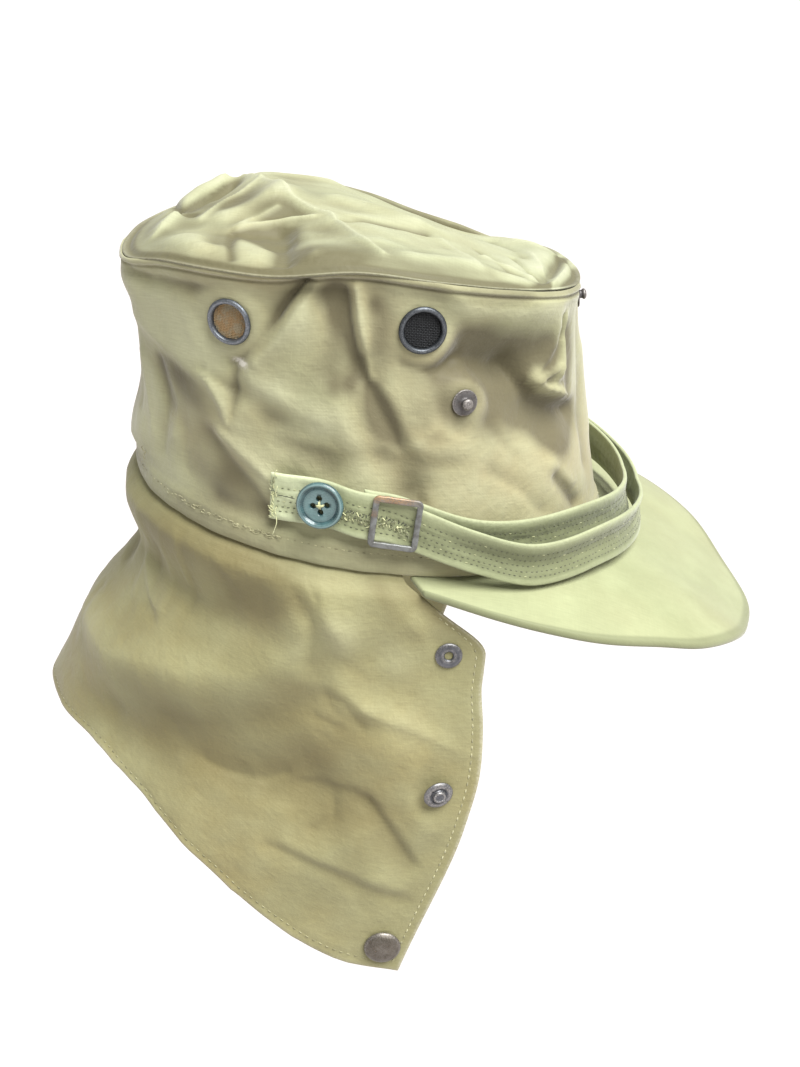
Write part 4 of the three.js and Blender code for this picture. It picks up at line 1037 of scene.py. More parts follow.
# Neck flap
flap = {
    "wall": 1.8,
    "tuck": 6,                  # how far it reaches up inside the crown
    "length": 210,
    "drop": 165,
    "drops": [0, 0.045, 0.1, 0.22, 0.6, 1],
    "sections": bothSides([     # share, back, bend x y z, end x y z, roll, bow
        (0, 0, -97, 0, -20, -144, 0, -96, 4, 2),
        (0.13, 19, -92, 30, -21, -134, 31, -96, 4, 2),
        (0.26, 36, -79, 53, -23, -115, 58, -98.5, 3, 3),
        (0.38, 51, -61, 70, -27, -96, 76, -107, 3, 4),
        (0.5, 65, -40, 82, -31, -75, 91, -124.5, 3, 4),
        (0.63, 77, -20, 88, -34, -50, 99, -148, 2, 5),
        (0.76, 87, 3, 90, -36, -28, 101, -167.5, 2, 6),
        (0.88, 94, 25, 90, -36, -9, 101, -179.5, 1, 8),
        (1, 100, 45.5, 88, -36, 12.7, 100, -185.5, 0, 11),
    ], (0, 1, 3, 6)),
    "folds": [                  # path of share and drop, width, height, sharp, lean
        ([(-0.05, 0.14), (-0.04, 0.34)], 6, -3),
        ([(-0.18, 0.12), (-0.2, 0.3)], 6, 2.5),
        ([(-0.28, 0.12), (-0.27, 0.26)], 6, -2.5),
        ([(-0.3, 0.48), (-0.6, 0.4)], 16, 4),
        ([(-0.3, 0.7), (-0.62, 0.62)], 15, -4),
        ([(-0.62, 0.6), (-0.85, 0.68)], 7, -3),
        ([(-0.7, 0.3), (-0.9, 0.5)], 12, 2.5),
    ],
    "creases": [
        ([(-0.05, 0.14), (-0.04, 0.34)], 6, -2),
        ([(-0.1, 0.6), (-0.22, 0.6), (-0.38, 0.45), (-0.55, 0.27), (-0.66, 0.14)], 18, 5, 0.1),
        ([(-0.28, 0.86), (-0.46, 0.74), (-0.66, 0.6)], 19, -6.5),
        ([(-0.4, 0.7), (-0.54, 0.48), (-0.66, 0.3)], 11, -2, 0.1, 0.2),
        ([(-0.7, 0.3), (-0.86, 0.46), (-0.93, 0.6)], 12, 1.6),
        ([(-0.16, 0.18), (-0.36, 0.22), (-0.5, 0.14)], 9, -1.8),
        ([(-0.165, 0.12), (-0.15, 0.22), (-0.17, 0.36)], 3, 0.7, 0.4, 0.3),
        ([(-0.2, 0.11), (-0.205, 0.22), (-0.23, 0.36)], 4, -0.8, 0.2),
        ([(-0.25, 0.1), (-0.26, 0.2), (-0.27, 0.32)], 3, 0.7, 0.4, -0.2),
        ([(-0.31, 0.08), (-0.325, 0.16), (-0.33, 0.26)], 3, -0.8, 0.3),
        ([(-0.36, 0.09), (-0.37, 0.18)], 4, 0.6, 0.3),
        ([(-0.42, 0.07), (-0.43, 0.16)], 5, -0.7, 0.2),
        ([(-0.49, 0.06), (-0.58, 0.09), (-0.64, 0.15), (-0.63, 0.24)], 6, -1.8, 0.2, 0.4),
        ([(-0.56, 0.06), (-0.66, 0.1), (-0.7, 0.18)], 6, 1.4, 0.1),
        ([(-0.1, 0.12), (-0.09, 0.28)], 4, 0.7, 0.3),
        ([(-0.24, 0.34), (-0.27, 0.37)], 3, -0.7, 0.2),
        ([(-0.47, 0.745), (-0.52, 0.72), (-0.57, 0.68), (-0.61, 0.62)], 3, -1.0, 0.4, 0.4),
        ([(-0.44, 0.8), (-0.54, 0.76), (-0.62, 0.71)], 6, 0.9, 0.2),
        ([(-0.65, 0.62), (-0.7, 0.59), (-0.76, 0.57), (-0.81, 0.585)], 3.8, -0.9, 0.2, -0.5),
        ([(-0.8, 0.58), (-0.87, 0.65), (-0.925, 0.71)], 4, -1.7, 0.3, -0.6),
        ([(-0.72, 0.6), (-0.735, 0.66), (-0.7, 0.71)], 3, -0.8, 0.3),
        ([(-0.63, 0.81), (-0.75, 0.785), (-0.86, 0.795), (-0.95, 0.81)], 3, -0.8, 0.3, -0.3),
        ([(-0.66, 0.775), (-0.8, 0.76), (-0.92, 0.78)], 3.8, 0.7, 0.3, 0.4),
        ([(-0.75, 0.345), (-0.87, 0.385), (-0.97, 0.44)], 3.2, 0.9, 0.5, 0.3),
        ([(-0.67, 0.325), (-0.71, 0.335), (-0.755, 0.395)], 2.4, -0.7, 0.4, 0.3),
        ([(-0.655, 0.395), (-0.71, 0.405)], 2.4, -0.6, 0.3),
        ([(-0.255, 0.045), (-0.3, 0.09), (-0.315, 0.18)], 2.6, 1.0, 0.5, 0.4),
        ([(-0.3, 0.045), (-0.38, 0.07), (-0.44, 0.12)], 2.6, 0.9, 0.5, 0.3),
        ([(-0.17, 0.08), (-0.135, 0.2), (-0.24, 0.33)], 3, 0.8, 0.4, 0.3),
        ([(-0.55, 0.05), (-0.62, 0.07), (-0.65, 0.105)], 2.8, -1.5, 0.4, 0.6),
        ([(-0.74, 0.74), (-0.8, 0.69), (-0.86, 0.76)], 7, 1.2, 0.1),
        ([(-0.68, 0.35), (-0.73, 0.38), (-0.78, 0.39)], 4, -0.7, 0.3, 0.2),
        ([(-0.7, 0.31), (-0.76, 0.34)], 4, 0.5, 0.3),
        ([(-0.74, 0.14), (-0.86, 0.13), (-0.92, 0.18)], 9, 1.2),
        ([(-0.68, 0.22), (-0.75, 0.27), (-0.84, 0.3)], 7, -0.9, 0.1),
        ([(-0.9, 0.48), (-0.95, 0.57)], 5, -0.9, 0.2),
        ([(-0.05, 0.5), (-0.08, 0.66)], 3.4, -0.8, 0.4),
    ],
    "columns": 350,
    "rows": 125,
    "crumple": 0.9,
    "front": np.array([         # drop, how far the front edge strays from its plain line
        (0, 0), (0.1, 0), (0.15, -0.2), (0.19, 1.4), (0.21, 1.5), (0.25, -0.2), (0.3, -1.8), (0.38, -0.8),
        (0.5, 0.8), (0.62, 0), (0.8, -0.6), (1, 0),
    ]),
    "swell": 2.1,               # how far it bulges out under the crown's hem
    "shadeAndStains": [                 # share, drop, reach across and down, how much darker (or lighter): painted shade and light, and some stains
        (-0.5, 0.72, 0.28, 0.22, 0.4), (-0.43, 0.08, 0.13, 0.055, 1.1), (-0.52, 0.13, 0.08, 0.05, 0.8),
        (-0.24, 0.1, 0.12, 0.07, 0.8), (-0.5, 0.5, 0.5, 0.3, 0.25), (-0.62, 0.14, 0.08, 0.06, 0.4),
        (-0.84, 0.33, 0.06, 0.1, -0.6), (-0.8, 0.22, 0.05, 0.05, -0.4), (-0.2, 0.3, 0.12, 0.12, -0.45),
        (-0.36, 0.24, 0.08, 0.08, -0.3), (-0.14, 0.58, 0.06, 0.2, -0.6), (-0.26, 0.8, 0.07, 0.13, -0.6),
        (-0.53, 0.29, 0.09, 0.06, 0.5), (-0.99, 0.12, 0.06, 0.07, 1.1), (-0.86, 0.1, 0.05, 0.08, 0.7),
        (-0.62, 0.46, 0.12, 0.08, 0.5), (-0.74, 0.4, 0.06, 0.05, 0.3), (-0.79, 0.64, 0.1, 0.12, 0.5),
        (-0.68, 0.2, 0.04, 0.06, -0.3),
    ],
    "stitchIn": 4.2,            # the hem's stitch line, from the edge
    "stitchDip": 0.35,
    "hills": 0.3,
}
flapChart = (flap["length"], flap["drop"])


def flapSpine(flapShare, drop):
    back, bendX, bendY, bendZ, endX, endY, endZ, roll, bow = rowAt(flap["sections"], flapShare)
    turn = wrapTurn(180 - back)
    low = openingHeight(turn)
    tuckRise = flap["tuck"] / (seamHeight(turn) - low)
    inside = crownReach(turn, turn * 0) - crown["wall"] - 0.3
    tucked = crownReach(turn, tuckRise) - crown["wall"] - 0.6
    c, s = np.cos(np.radians(turn)), np.sin(np.radians(turn))
    flare = np.hypot(endX - bendX, endZ - bendZ)
    bellyX = -(endZ - bendZ) / flare * bow
    bellyZ = (endX - bendX) / flare * bow
    toward = 2 * ease(0.35, 0.6, np.abs(flapShare)) - 1
    rollShare = 9 / (low - bendZ)
    rollOut = (crown["wall"] + roll) * (1 - rollShare)
    insideX, insideY = inside * c, inside * s
    knots = [
        (tucked * c, tucked * s, low + flap["tuck"]),
        (insideX, insideY, low - 1.5),
        (insideX + (bendX - insideX) * rollShare + rollOut * c,
         insideY + (bendY - insideY) * rollShare + rollOut * s, low - 9),
        (bendX, bendY, bendZ),
        (bendX + (endX - bendX) * 0.48 + toward * bellyX,
         bendY * 1.017 + (endY - bendY) * 0.48,
         bendZ + (endZ - bendZ) * 0.48 + toward * bellyZ),
        (endX, endY, endZ),
    ]
    place = 0
    for k, knot in enumerate(knots):
        weight = lineThrough(flap["drops"], np.eye(6)[k], drop)
        place = place + weight[..., None] * np.stack(np.broadcast_arrays(*knot), axis=-1)
    return place


def flapOut(flapShare, drop, folds):
    px = -np.abs(flapShare) * flap["length"]
    near = 0.5 + 0.5 * ease(-0.04, 0.04, -flapShare)
    free = share(0.06, 0.16, drop) * share(0, 0.08, 1 - np.abs(flapShare))
    return foldField(px, drop * flap["drop"], folds, flapChart) * near * free


def flapPoint(flapShare, drop):
    flapShare, drop = np.broadcast_arrays(np.asarray(flapShare, float), np.asarray(drop, float))
    place = flapSpine(flapShare, drop)
    return place + outwards(place) * flapOut(flapShare, drop, flap["folds"])[..., None]


snapSpots, snapSeats = {}, {}
snapRadius = {"snap_ring": 5.3, "snap_post": 6.1, "snap_cap": 7.8}
for side, y in sides.items():
    for name, radius in snapRadius.items():
        x, placeY, z = places[name]
        spot = nearest(flapPoint, (x, -y * placeY, z), (-1, -0.6) if y < 0 else (0.6, 1), (0.1, 1))
        snapSpots[f"{name}_{side}"] = (*spot, radius)
        snapSeats[f"{name}_{side}"] = seatOn(flapPoint, spot, radius, flapChart)


def flapFine(flapShare, drop):
    place = flapSpine(flapShare, drop)
    edge = share(0.04, 0.12, drop) * ease(0, 0.05, 1 - np.abs(flapShare))
    folded = flapOut(flapShare, drop, flap["creases"])
    uneven = flap["hills"] * ripple(place, 24, 11) + flap["crumple"] * crumpled(place, 30, 23)
    folded = folded + uneven * edge
    for u, v, radius in snapSpots.values():
        away = np.hypot((flapShare - u) * flap["length"], (drop - v) * flap["drop"])
        folded = folded * ease(radius * 0.9, radius * 2.2, away)
    front = ease(0.8, 1, np.abs(flapShare))
    place[..., 0] += front * rowAt(flap["front"], drop)[0]
    swell = flap["swell"] * ease(0.039, 0.058, drop) * ease(0.2, 0.08, drop)
    return place + outwards(place) * (folded + swell)[..., None], folded


spread = np.linspace(-1, 1, flap["columns"])
flapShares = 0.9975 * (spread - 0.12 * (1 - spread ** 2))      # closer together on the near side
flapDrops = spaced((0.0, 0.12, 24), (0.12, 0.994, flap["rows"] - 23))
shareGrid, dropGrid = np.meshgrid(flapShares, flapDrops)
flapFace, flapFolded = flapFine(shareGrid, dropGrid)
edgeAway = np.minimum((1 - np.abs(shareGrid)) * flap["length"], (1 - dropGrid) * flap["drop"])
shown = dropGrid > 0.12         # what hangs below the crown
normals = facingOut(gridNormals(flapFace), flapFace)
dip = flap["stitchDip"] * bell(edgeAway - flap["stitchIn"], 0.8) * shown
flapFace = flapFace - normals * dip[..., None]
# painted shading of the folds, and darker towards the bottom
flapShading = foldShadingOf(flapFolded, 130, 3.4) - 0.25 * smooth(dropGrid)
flapShading = shadedAndStained(flapShading, shareGrid, dropGrid, flap["shadeAndStains"])
neckFlap = clothSheet("neck_flap_cloth", "neck_flap", (flapFace, flapFace - normals * flap["wall"]),
                      (flapShares * flap["length"], -flapDrops * flap["drop"]), flapCloth,
                      flapShading, 0.35 * bell(edgeAway, 0.9) * shown)


# Peak
peak = {
    "thick": 3,
    "bow": 3,
    "sections": bothSides([     # share, turn, edge x y z
        (0, 0, 168.5, 0, -60.5), (0.12, 9, 163, 27, -56), (0.25, 18, 152, 55, -46),
        (0.38, 28, 133, 76, -37.5), (0.5, 37, 113, 85, -31), (0.62, 46, 92, 92, -25.5),
        (0.75, 56, 72, 95, -19.5), (0.88, 66, 50, 95, -13), (1, 77, 23.5, 90, -6),
    ], (0, 1, 3)),
    "columns": 170,
    "rows": 42,
}


def peakPoint(peakShare, out):
    turn, edgeX, edgeY, edgeZ = rowAt(peak["sections"], peakShare)
    reach = openingReach(turn) + crown["bandProud"] - crown["wall"]
    root = round3(reach, turn, openingHeight(turn) - 0.4)
    edge = np.stack([edgeX, edgeY, edgeZ], axis=-1)
    place = root + (edge - root) * out[..., None]
    place[..., 2] += peak["bow"] * np.sin(math.pi * out) * share(0, 0.4, 1 - np.abs(peakShare))
    return place


peakShares = np.linspace(-1, 1, peak["columns"])
peakOuts = spaced((0, 0.94, peak["rows"] - 12), (0.94, 0.985, 13))
peakShareGrid, outGrid = np.meshgrid(peakShares, peakOuts)
peakFace = peakPoint(peakShareGrid, outGrid)
peakFace[..., 2] += 0.18 * ripple(peakFace, 22, 21) * ease(0.1, 0.3, outGrid)
# painted shade along the edge of the peak
clothSheet("peak_cloth_cover", "peak", (peakFace, peakFace - np.array([0, 0, peak["thick"]])),
           (peakShares, peakOuts), peakCloth, -0.56 * ease(0.935, 0.97, outGrid),
           plan=True, edge=0.75)


# Chin strap, two layers that part in front of the buckle
strap = {
    "width": 17.6,
    "thick": 1.6,
    "clear": 0.5,               # gap to the crown
    "outer": bothSides([        # turn, lift, height
        (0, 15.5, -10), (14, 14.5, -7.5), (32, 13, -2.5), (51, 10.5, 0), (64, 7, 8.5), (82, 3.2, 21.5),
        (91, 2.9, 24.5), (100, 0.5, 27.5), (113, 0.5, 28.5)], (0,)),
    "inner": bothSides([
        (0, 10.5, -4), (14, 9.5, -1.5), (32, 6, 3.5), (51, 2.5, 6), (64, 2, 11), (80, 0.5, 21), (89, 0.5, 24),
    ], (0,)),
    "seams": [0.2, 0.3, 0.42, 0.55, 0.7],   # stitch rows across its width
    "pucker": 0.24,
    "middleShade": 1.35,               # how dark the painted shade over the loose run's middle is
    "rolled": {"outer": 1.6, "inner": 0.8},    # how far its upper edge leans out where it hangs free
    "columns": 400,
    "rows": 24,
}


def strapPoint(run, way, up):
    way, up = np.broadcast_arrays(np.asarray(way, float), np.asarray(up, float))
    turn = way * strap[run][-1, 0]
    lift, height = rowAt(strap[run], turn)
    height = height + (up - 0.5) * strap["width"]
    low = openingHeight(turn)
    rise = np.maximum(0, (height - low) / (seamHeight(turn) - low))
    clear = crownReach(turn, rise) + strap["clear"]
    lifted = plainReach(turn, rise) + crown["bandProud"] + lift
    return round3(np.maximum(clear, lifted) + strap["thick"], turn, height)


def strapFine(run, way, up):
    place = strapPoint(run, way, up)
    way, up = np.broadcast_arrays(way, up)
    along = way * strapLength(run)
    quilt = np.zeros(up.shape)
    for k, seam in enumerate(strap["seams"]):
        quilt -= bell(up - seam, 0.04) * (0.6 + 0.4 * np.sin(along * 2 * math.pi / 2.9 + k))
    wave = np.stack([along, up * strap["width"] * 2.2, along * 0 + (1 if run == "outer" else 9)], axis=-1)
    quilt += ripple(wave, 4.2, 31) * bell(up - 0.4, 0.28)
    # the edges stand out, and also get a painted highlight
    quilt += 0.7 * bell(up - 0.06, 0.09) + 0.7 * bell(up - 0.92, 0.09)
    turn = np.abs(way * strap[run][-1, 0])
    loose = ease(74, 58, turn) * ease(-10, 14, turn)
    rolled = strap["rolled"][run] * loose * (1.7 * ease(0.5, 1, up) - 0.7 * bell(up - 0.45, 0.2))
    out = strap["pucker"] * quilt * ease(0, 0.03, 1 - np.abs(way)) + rolled
    # the second value is painted shading: darker stitch rows, lighter edges, painted shade where the edge
    # rolls in
    return place + outwards(place) * out[..., None], quilt - 0.5 * (rolled < -0.1)


def strapLength(run):
    return strap[run][-1, 0] * math.radians(1) * 88


ways = np.linspace(-0.998, 0.998, strap["columns"])
ups = np.linspace(0.04, 0.96, strap["rows"])
wayGrid, upGrid = np.meshgrid(ways, ups)
for run in ("outer", "inner"):
    face, quilt = strapFine(run, wayGrid, upGrid)
    turn = np.abs(wayGrid) * strap[run][-1, 0]
    # painted shade over the loose run's middle, and lighter towards the end
    shadedMiddle = ease(88, 72, turn) * ease(4, 30, turn) * bell(upGrid - 0.45, 0.36)
    paintedShading = 0.55 * quilt - strap["middleShade"] * shadedMiddle + 0.9 * ease(98, 106, turn)
    clothSheet(f"chin_strap_{run}_cloth", f"chin_strap_{run}", (face, face - outwards(face) * strap["thick"]),
               (ways * strapLength(run), ups * strap["width"]), strapCloth,
               paintedShading, 0.15 * bell(upGrid - 0.97, 0.04))

outerPoint = partial(strapPoint, "outer")
strapEnd = strap["outer"][-1, 0]
strapChart = (math.radians(strapEnd) * crown["openingHalfWidth"], strap["width"])


# Turned fittings
def rounded(profile, soft, closed, steps=3):
    # a profile of radius, height and wear (partly a painted highlight), with each corner turned into a small
    # curve
    rows = [np.array(row[:2], float) for row in profile]
    wears = [row[2] if len(row) > 2 else 0.0 for row in profile]
    result = []
    for k, (here, wear) in enumerate(zip(rows, wears)):
        if not closed and k in (0, len(rows) - 1):
            result.append((*here, wear))
            continue
        before, after = rows[k - 1], rows[(k + 1) % len(rows)]
        first, last = [here + unit(other - here) * min(soft, np.linalg.norm(other - here) * 0.45)
                       for other in (before, after)]
        for t in np.arange(steps + 1) / steps:
            result.append((*((1 - t) ** 2 * first + 2 * t * (1 - t) * here + t ** 2 * last), wear))
    return np.array(result + result[:1] if closed else result)


def turnedPiece(name, profile, seat, material, replaced=(), sides=48, soft=0.25, closed=False, slits=0):
    radius, height, wear = rounded(profile, soft, closed).T[..., None]
    angles = allRound(sides)
    local = np.stack(np.broadcast_arrays(radius * np.cos(angles), radius * np.sin(angles), height), axis=-1)
    if slits:
        notch = bell((angles * slits / (2 * math.pi)) % 1 - 0.5, 0.03)
        local[..., 2] -= 0.5 * notch * share(0.3, 1.2, height)
    faces = gridFaces(len(local), sides, True)[0]
    marks = {"wear": np.repeat(wear.ravel(), sides)}
    return makePiece(name, seated(seat, local.reshape(-1, 3)), faces, material, None, marks, replaced)


# The third column of a profile is wear, and on raised lips and tops also a painted highlight.
backProfile = [(0, -0.95), (6.8, -0.95), (6.8, -1.25), (0, -1.25)]
ringProfile = [(6.7, -3.2), (7.2, -3.2), (7.2, 0), (8.75, 0), (8.75, 0.5), (8.3, 1.1, 0.3), (7.7, 1.35, 0.6),
               (7.1, 1.15, 0.35), (6.7, 0.4, 0.1)]
studProfile = [(0, 0), (5, 0, 0.3), (5, 0.55, 0.9), (4.3, 0.7, 0.3), (2.4, 0.8, 0.1), (1.7, 1.2), (1.6, 2.0),
               (2.2, 2.7, 0.5), (2.1, 3.3, 0.9), (1.4, 3.85, 1), (0, 4, 1)]
snapProfiles = {
    "snap_ring": [(1.6, 0.02), (5.3, 0), (5.3, 0.5, 0.6), (4.6, 1.0, 0.3), (3.6, 1.1, 0.1), (2.4, 1.1, 0.5),
                  (1.7, 0.6, 0.1)],
    "snap_post": [(0, 0), (6.1, 0, 0.2), (6.1, 0.6, 0.6), (5.4, 1.25, 0.6), (4.4, 1.45, 0.8),
                  (3.7, 1.35, 0.4), (3.1, 0.8), (2.7, 1.3, 0.3), (2.5, 2.3, 0.9), (1.9, 2.5, 1),
                  (1.5, 2.1, 0.2), (0, 1.9)],
    "snap_cap": [(0, 0), (7.4, 0), (7.8, 0.6, 0.7), (7.5, 1.3, 0.5), (6.2, 2.3, 0.2), (4.2, 3.1, 0.2),
                 (0, 3.5, 0.35)],
}


def wireWeave(name, seat, material, replaced):
    # a disc of woven wire: each wire goes over and under those that cross it
    radius, pitch, thick = vent["wireReach"], vent["wirePitch"], vent["wireThick"]
    parts, wears = [], []
    count = int(radius / pitch)
    ring = allRound(5)
    for crossing in (0, 1):
        for k in range(-count, count + 1):
            reach = math.sqrt(max(radius ** 2 - (k * pitch) ** 2, 0))
            if reach < pitch:
                continue
            steps = max(6, int(reach * 2 / pitch * 2) // 2 * 2)
            t = np.linspace(-reach, reach, steps + 1)[:, None]
            lift = thick * 0.5 * np.cos(math.pi * t / pitch) * (1 if (k + crossing) % 2 else -1)
            along, aside, up = np.broadcast_arrays(
                t, k * pitch + thick / 2 * np.cos(ring), lift + thick / 2 * np.sin(ring) - 0.45)
            line = (aside, along, up) if crossing else (along, aside, up)
            faces = gridFaces(steps + 1, 5, True)[0].tolist()
            faces += [[4, 3, 2, 1, 0], [steps * 5 + corner for corner in range(5)]]
            parts.append((seated(seat, np.stack(line, axis=-1).reshape(-1, 3)), faces))
            wears.append(np.repeat(np.where(lift > 0, 0.5, 0.0), 5))
    points, faces = joined(parts)
    marks = {"wear": np.concatenate(wears)}
    makePiece(name, points, faces, material, None, marks, replaced, weld=False)


for name, seat in ventSeats.items():
    rusty = "rear" in name
    wire, slot = (rustyWire, "vent_wire_rusty") if rusty else (darkWire, "vent_wire_dark")
    turnedPiece(f"{name}_rim", ringProfile, seat, rimMetal if rusty else darkRimMetal,
                [f"{name}_ring"], 64, 0.3, True)
    wireWeave(f"{name}_wire", seat, wire, [f"{name}_mesh"])
    turnedPiece(f"{name}_back", backProfile, seat, wire, (), 32, 0.1)
for name, spot in crownSpots.items():
    if name.startswith("stud"):
        seat = seatOn(crownPoint, spot, studPlate / 2, crownChart)
        turnedPiece(f"{name}_press", studProfile, seat, studMetal, [name], 48, 0.3)
for name, seat in snapSeats.items():
    kind = name.rsplit("_", 1)[0]
    metal = capMetal if kind == "snap_cap" else greyMetal
    turnedPiece(f"{name}_press", snapProfiles[kind], seat, metal, [name], 56, 0.35,
                kind == "snap_ring", 4 if kind == "snap_post" else 0)
print("vents, studs and snaps: made")


# Buttons
button = {
    "turn": 100,
    "radius": 9,
    # radius, height, and how pale: a painted highlight along the rim's top, and a paler face
    "profile": [(0, 0), (7.4, 0), (8.7, 1, 0.1), (9, 1.9, 0.1), (8.7, 2.7, 0.25), (8.1, 3.2, 0.75),
                (7.5, 3.05, 0.3), (6.8, 2.3, 0.05), (6.4, 2.05, 0), (5.9, 2.15, 0.4), (5.2, 2.1, 0.5),
                (3, 1.85, 0.6), (0, 1.8, 0.7)],
    "holes": [(-0.3, 2.6), (2.6, 0.3), (0.3, -2.6), (-2.6, -0.3)],
    "holeRadius": 1.1,
    "threadThick": 0.17,
    "threadTop": 2.45,
    "threadReach": 0.62,        # how far towards its holes
}


for side, y in sides.items():
    seat = seatOn(outerPoint, (y * button["turn"] / strapEnd, 0.5), button["radius"], strapChart)
    piece = turnedPiece(f"button_{side}_disc", button["profile"], seat, tealPlastic,
                        [f"button_{side}"], 72, 0.5)
    holeSeats = [seat.copy() for hole in button["holes"]]
    for holeSeat, hole in zip(holeSeats, button["holes"]):
        holeSeat[:3, 3] = seated(seat, [(*hole, 0)])[0]
    drilled(piece, holeSeats, button["holeRadius"], -1, 5)
    strands = []
    t = np.linspace(-1, 1, 15)
    for k in (0, 1):
        first, last = np.array(button["holes"][k]), np.array(button["holes"][k + 2])
        aside = unit(np.array([first[1] - last[1], last[0] - first[0]]))
        arc = button["threadTop"] + 0.25 * k - 1.9 * np.abs(t) ** 5
        for off in (-0.3, 0, 0.3):
            flat = (last - first) / 2 * button["threadReach"] * t[:, None]
            flat = flat + aside * (off * (1 - 0.35 * t ** 2))[:, None]
            strands.append(tube(seated(seat, np.column_stack([flat, arc])), button["threadThick"]))
    threadPiece(f"button_{side}_thread", strands, [0.95, 0.8, 0.7] * 2, greenThread)
print("buttons: sewn on")


# Slide buckle
buckle = {
    "turn": 82,
    "wide": 18.5,
    "high": 20,
    "bar": 2.35,
    "tilt": -8.5,               # degrees, as the strap falls
    "depth": 1.6,
    "corner": 2.3,
}


def makeBuckle():
    seat = seatOn(outerPoint, (-buckle["turn"] / strapEnd, 0.5), buckle["wide"] / 2, strapChart)
    half = (np.array([buckle["wide"], buckle["high"]]) - buckle["bar"]) / 2
    radius = buckle["corner"] - buckle["bar"] / 2
    centres = [(half - radius) * np.array(corner) for corner in [(1, 1), (-1, 1), (-1, -1), (1, -1)]]
    path, outs = [], []         # the middle of the bars, all round, and the way out from it
    for k in range(4):
        angles = np.radians(90 * k + np.linspace(0, 90, 9))
        out = np.stack([np.cos(angles), np.sin(angles)], axis=1)
        bar = (centres[(k + 1) % 4] - centres[k]) * (np.arange(1, 12) / 12)[:, None]
        path += [*(centres[k] + radius * out), *(centres[k] + radius * out[-1] + bar)]
        outs += [*out, *[out[-1]] * 11]
    path, outs = np.array(path), np.array(outs)
    angles = allRound(20)
    # a bar's section: a rectangle with well rounded corners
    square = np.stack([np.cos(angles), np.sin(angles)])
    squareX, squareZ = np.sign(square) * np.abs(square) ** 0.55 / 2
    bend = 1 + 0.05 * np.sin(path[:, 1] * 0.9) + 0.04 * np.sin(path[:, 0] * 1.3)
    flat = path[:, None] + outs[:, None] * (squareX * buckle["bar"] * bend[:, None])[..., None]
    height = np.broadcast_to(((squareZ + 0.5) * buckle["depth"])[:, None], (*flat.shape[:2], 1))
    local = np.concatenate([flat, height], axis=2)
    local = np.concatenate([local, local[:1]])
    across, up = local[..., 0] / half[0], local[..., 1] / half[1]
    wear = share(0.75, 1, up) * share(1.1, 0.1, across) + 0.7 * bell(up - 0.35, 0.1) * share(-0.8, -1, across)
    tilt = math.radians(buckle["tilt"])
    c, s = math.cos(tilt), math.sin(tilt)
    local[..., :2] = local[..., :2] @ np.array([[c, s], [-s, c]])
    marks = {"wear": 0.75 * np.clip(wear, 0, 1)}
    makePiece("strap_buckle_frame", seated(seat, local.reshape(-1, 3)), gridFaces(len(local), 20, True)[0],
              buckleMetal, None, marks, ["strap_buckle"])


makeBuckle()
print("buckle: made")


# Stitching
def alongPath(surface, path, spacing, start=0.0):
    # evenly spaced places on a surface along a line of its chart, with the way and the normal there
    path = np.array(path, float)
    t = np.linspace(0, len(path) - 1, len(path) * 60)
    u, v = [np.interp(t, np.arange(len(path)), path[:, k]) for k in (0, 1)]
    gone = np.concatenate([[0], np.cumsum(np.linalg.norm(np.diff(surface(u, v), axis=0), axis=1))])
    at = np.arange(start, gone[-1], spacing)
    u, v = np.interp(at, gone, u), np.interp(at, gone, v)
    e = 0.002 * (1 if np.max(np.abs(path)) < 3 else 60)     # a chart in shares, or in degrees
    here = surface(u, v)
    across, down = surface(u + e, v) - surface(u - e, v), surface(u, v + 0.002) - surface(u, v - 0.002)
    normal = unit(np.cross(across, down))
    return here, unit(np.gradient(here, axis=0)), facingOut(normal, here)


stitches = {                    # mm from one to the next, how long, how thick, how deep in the cloth
    "flapHem": (3.3, 2.2, 0.5, 0.32),
    "crownBand": (crown["stitchStep"], 1.9, 0.45, 0.1),
    "strap": (2.3, 1.5, 0.34, 0.06),
}


def stitchRow(surface, path, spacing, length, thick, sink, slant=0.0, start=0.0):
    # short stitches with their ends pulled into the cloth
    here, way, normal = alongPath(surface, path, spacing, start)
    way = unit(way + unit(np.cross(normal, way)) * slant)
    aside = unit(np.cross(normal, way))
    t = np.array([-0.5, -0.3, 0, 0.3, 0.5])[:, None] * length
    lift = thick * np.array([-0.9, 0.1, 0.4, 0.1, -0.9])[:, None] - sink
    thin = np.array([0.3, 0.9, 1, 0.9, 0.3])[:, None, None] * thick / 2
    angles = allRound(5)[:, None]
    parts = []
    for p, w, n, a in zip(here, way, normal, aside):
        ring = a * np.cos(angles) + n * np.sin(angles)
        shell = (p + w * t + n * lift)[:, None] + ring * thin
        parts.append((shell.reshape(-1, 3), gridFaces(5, 5, True)[0].tolist()))
    return parts


def faceOf(fine, *first):
    # the surface alone, of a function that gives its folds too
    return lambda u, v: fine(*first, u, v)[0]


crownSurface, strapSurface = faceOf(crownFine), faceOf(strapFine, "outer")
hemIn, frontIn = flap["stitchIn"] / flap["drop"], flap["stitchIn"] / flap["length"]
hemPath = [(-1 + frontIn, d) for d in np.linspace(0.14, 1 - hemIn, 14)]
hemPath += [(s, 1 - hemIn) for s in np.linspace(-1 + frontIn, 1 - frontIn, 40)[1:]]
hemPath += [(1 - frontIn, d) for d in np.linspace(1 - hemIn, 0.14, 14)[1:]]
parts = stitchRow(faceOf(flapFine), hemPath, *stitches["flapHem"])
fromMiddle = [abs(k / len(parts) - 0.5) for k in range(len(parts))]      # paler down the front edges
tones = [(0.75 if away > 0.3 else 0.4) * (1 if k % 3 else 0.5) for k, away in enumerate(fromMiddle)]
threadPiece("flap_hem_stitches", parts, tones, khakiThread)
bandPath = [(t, crown["bandRise"] - 0.019) for t in np.linspace(-180, 180, 60)]
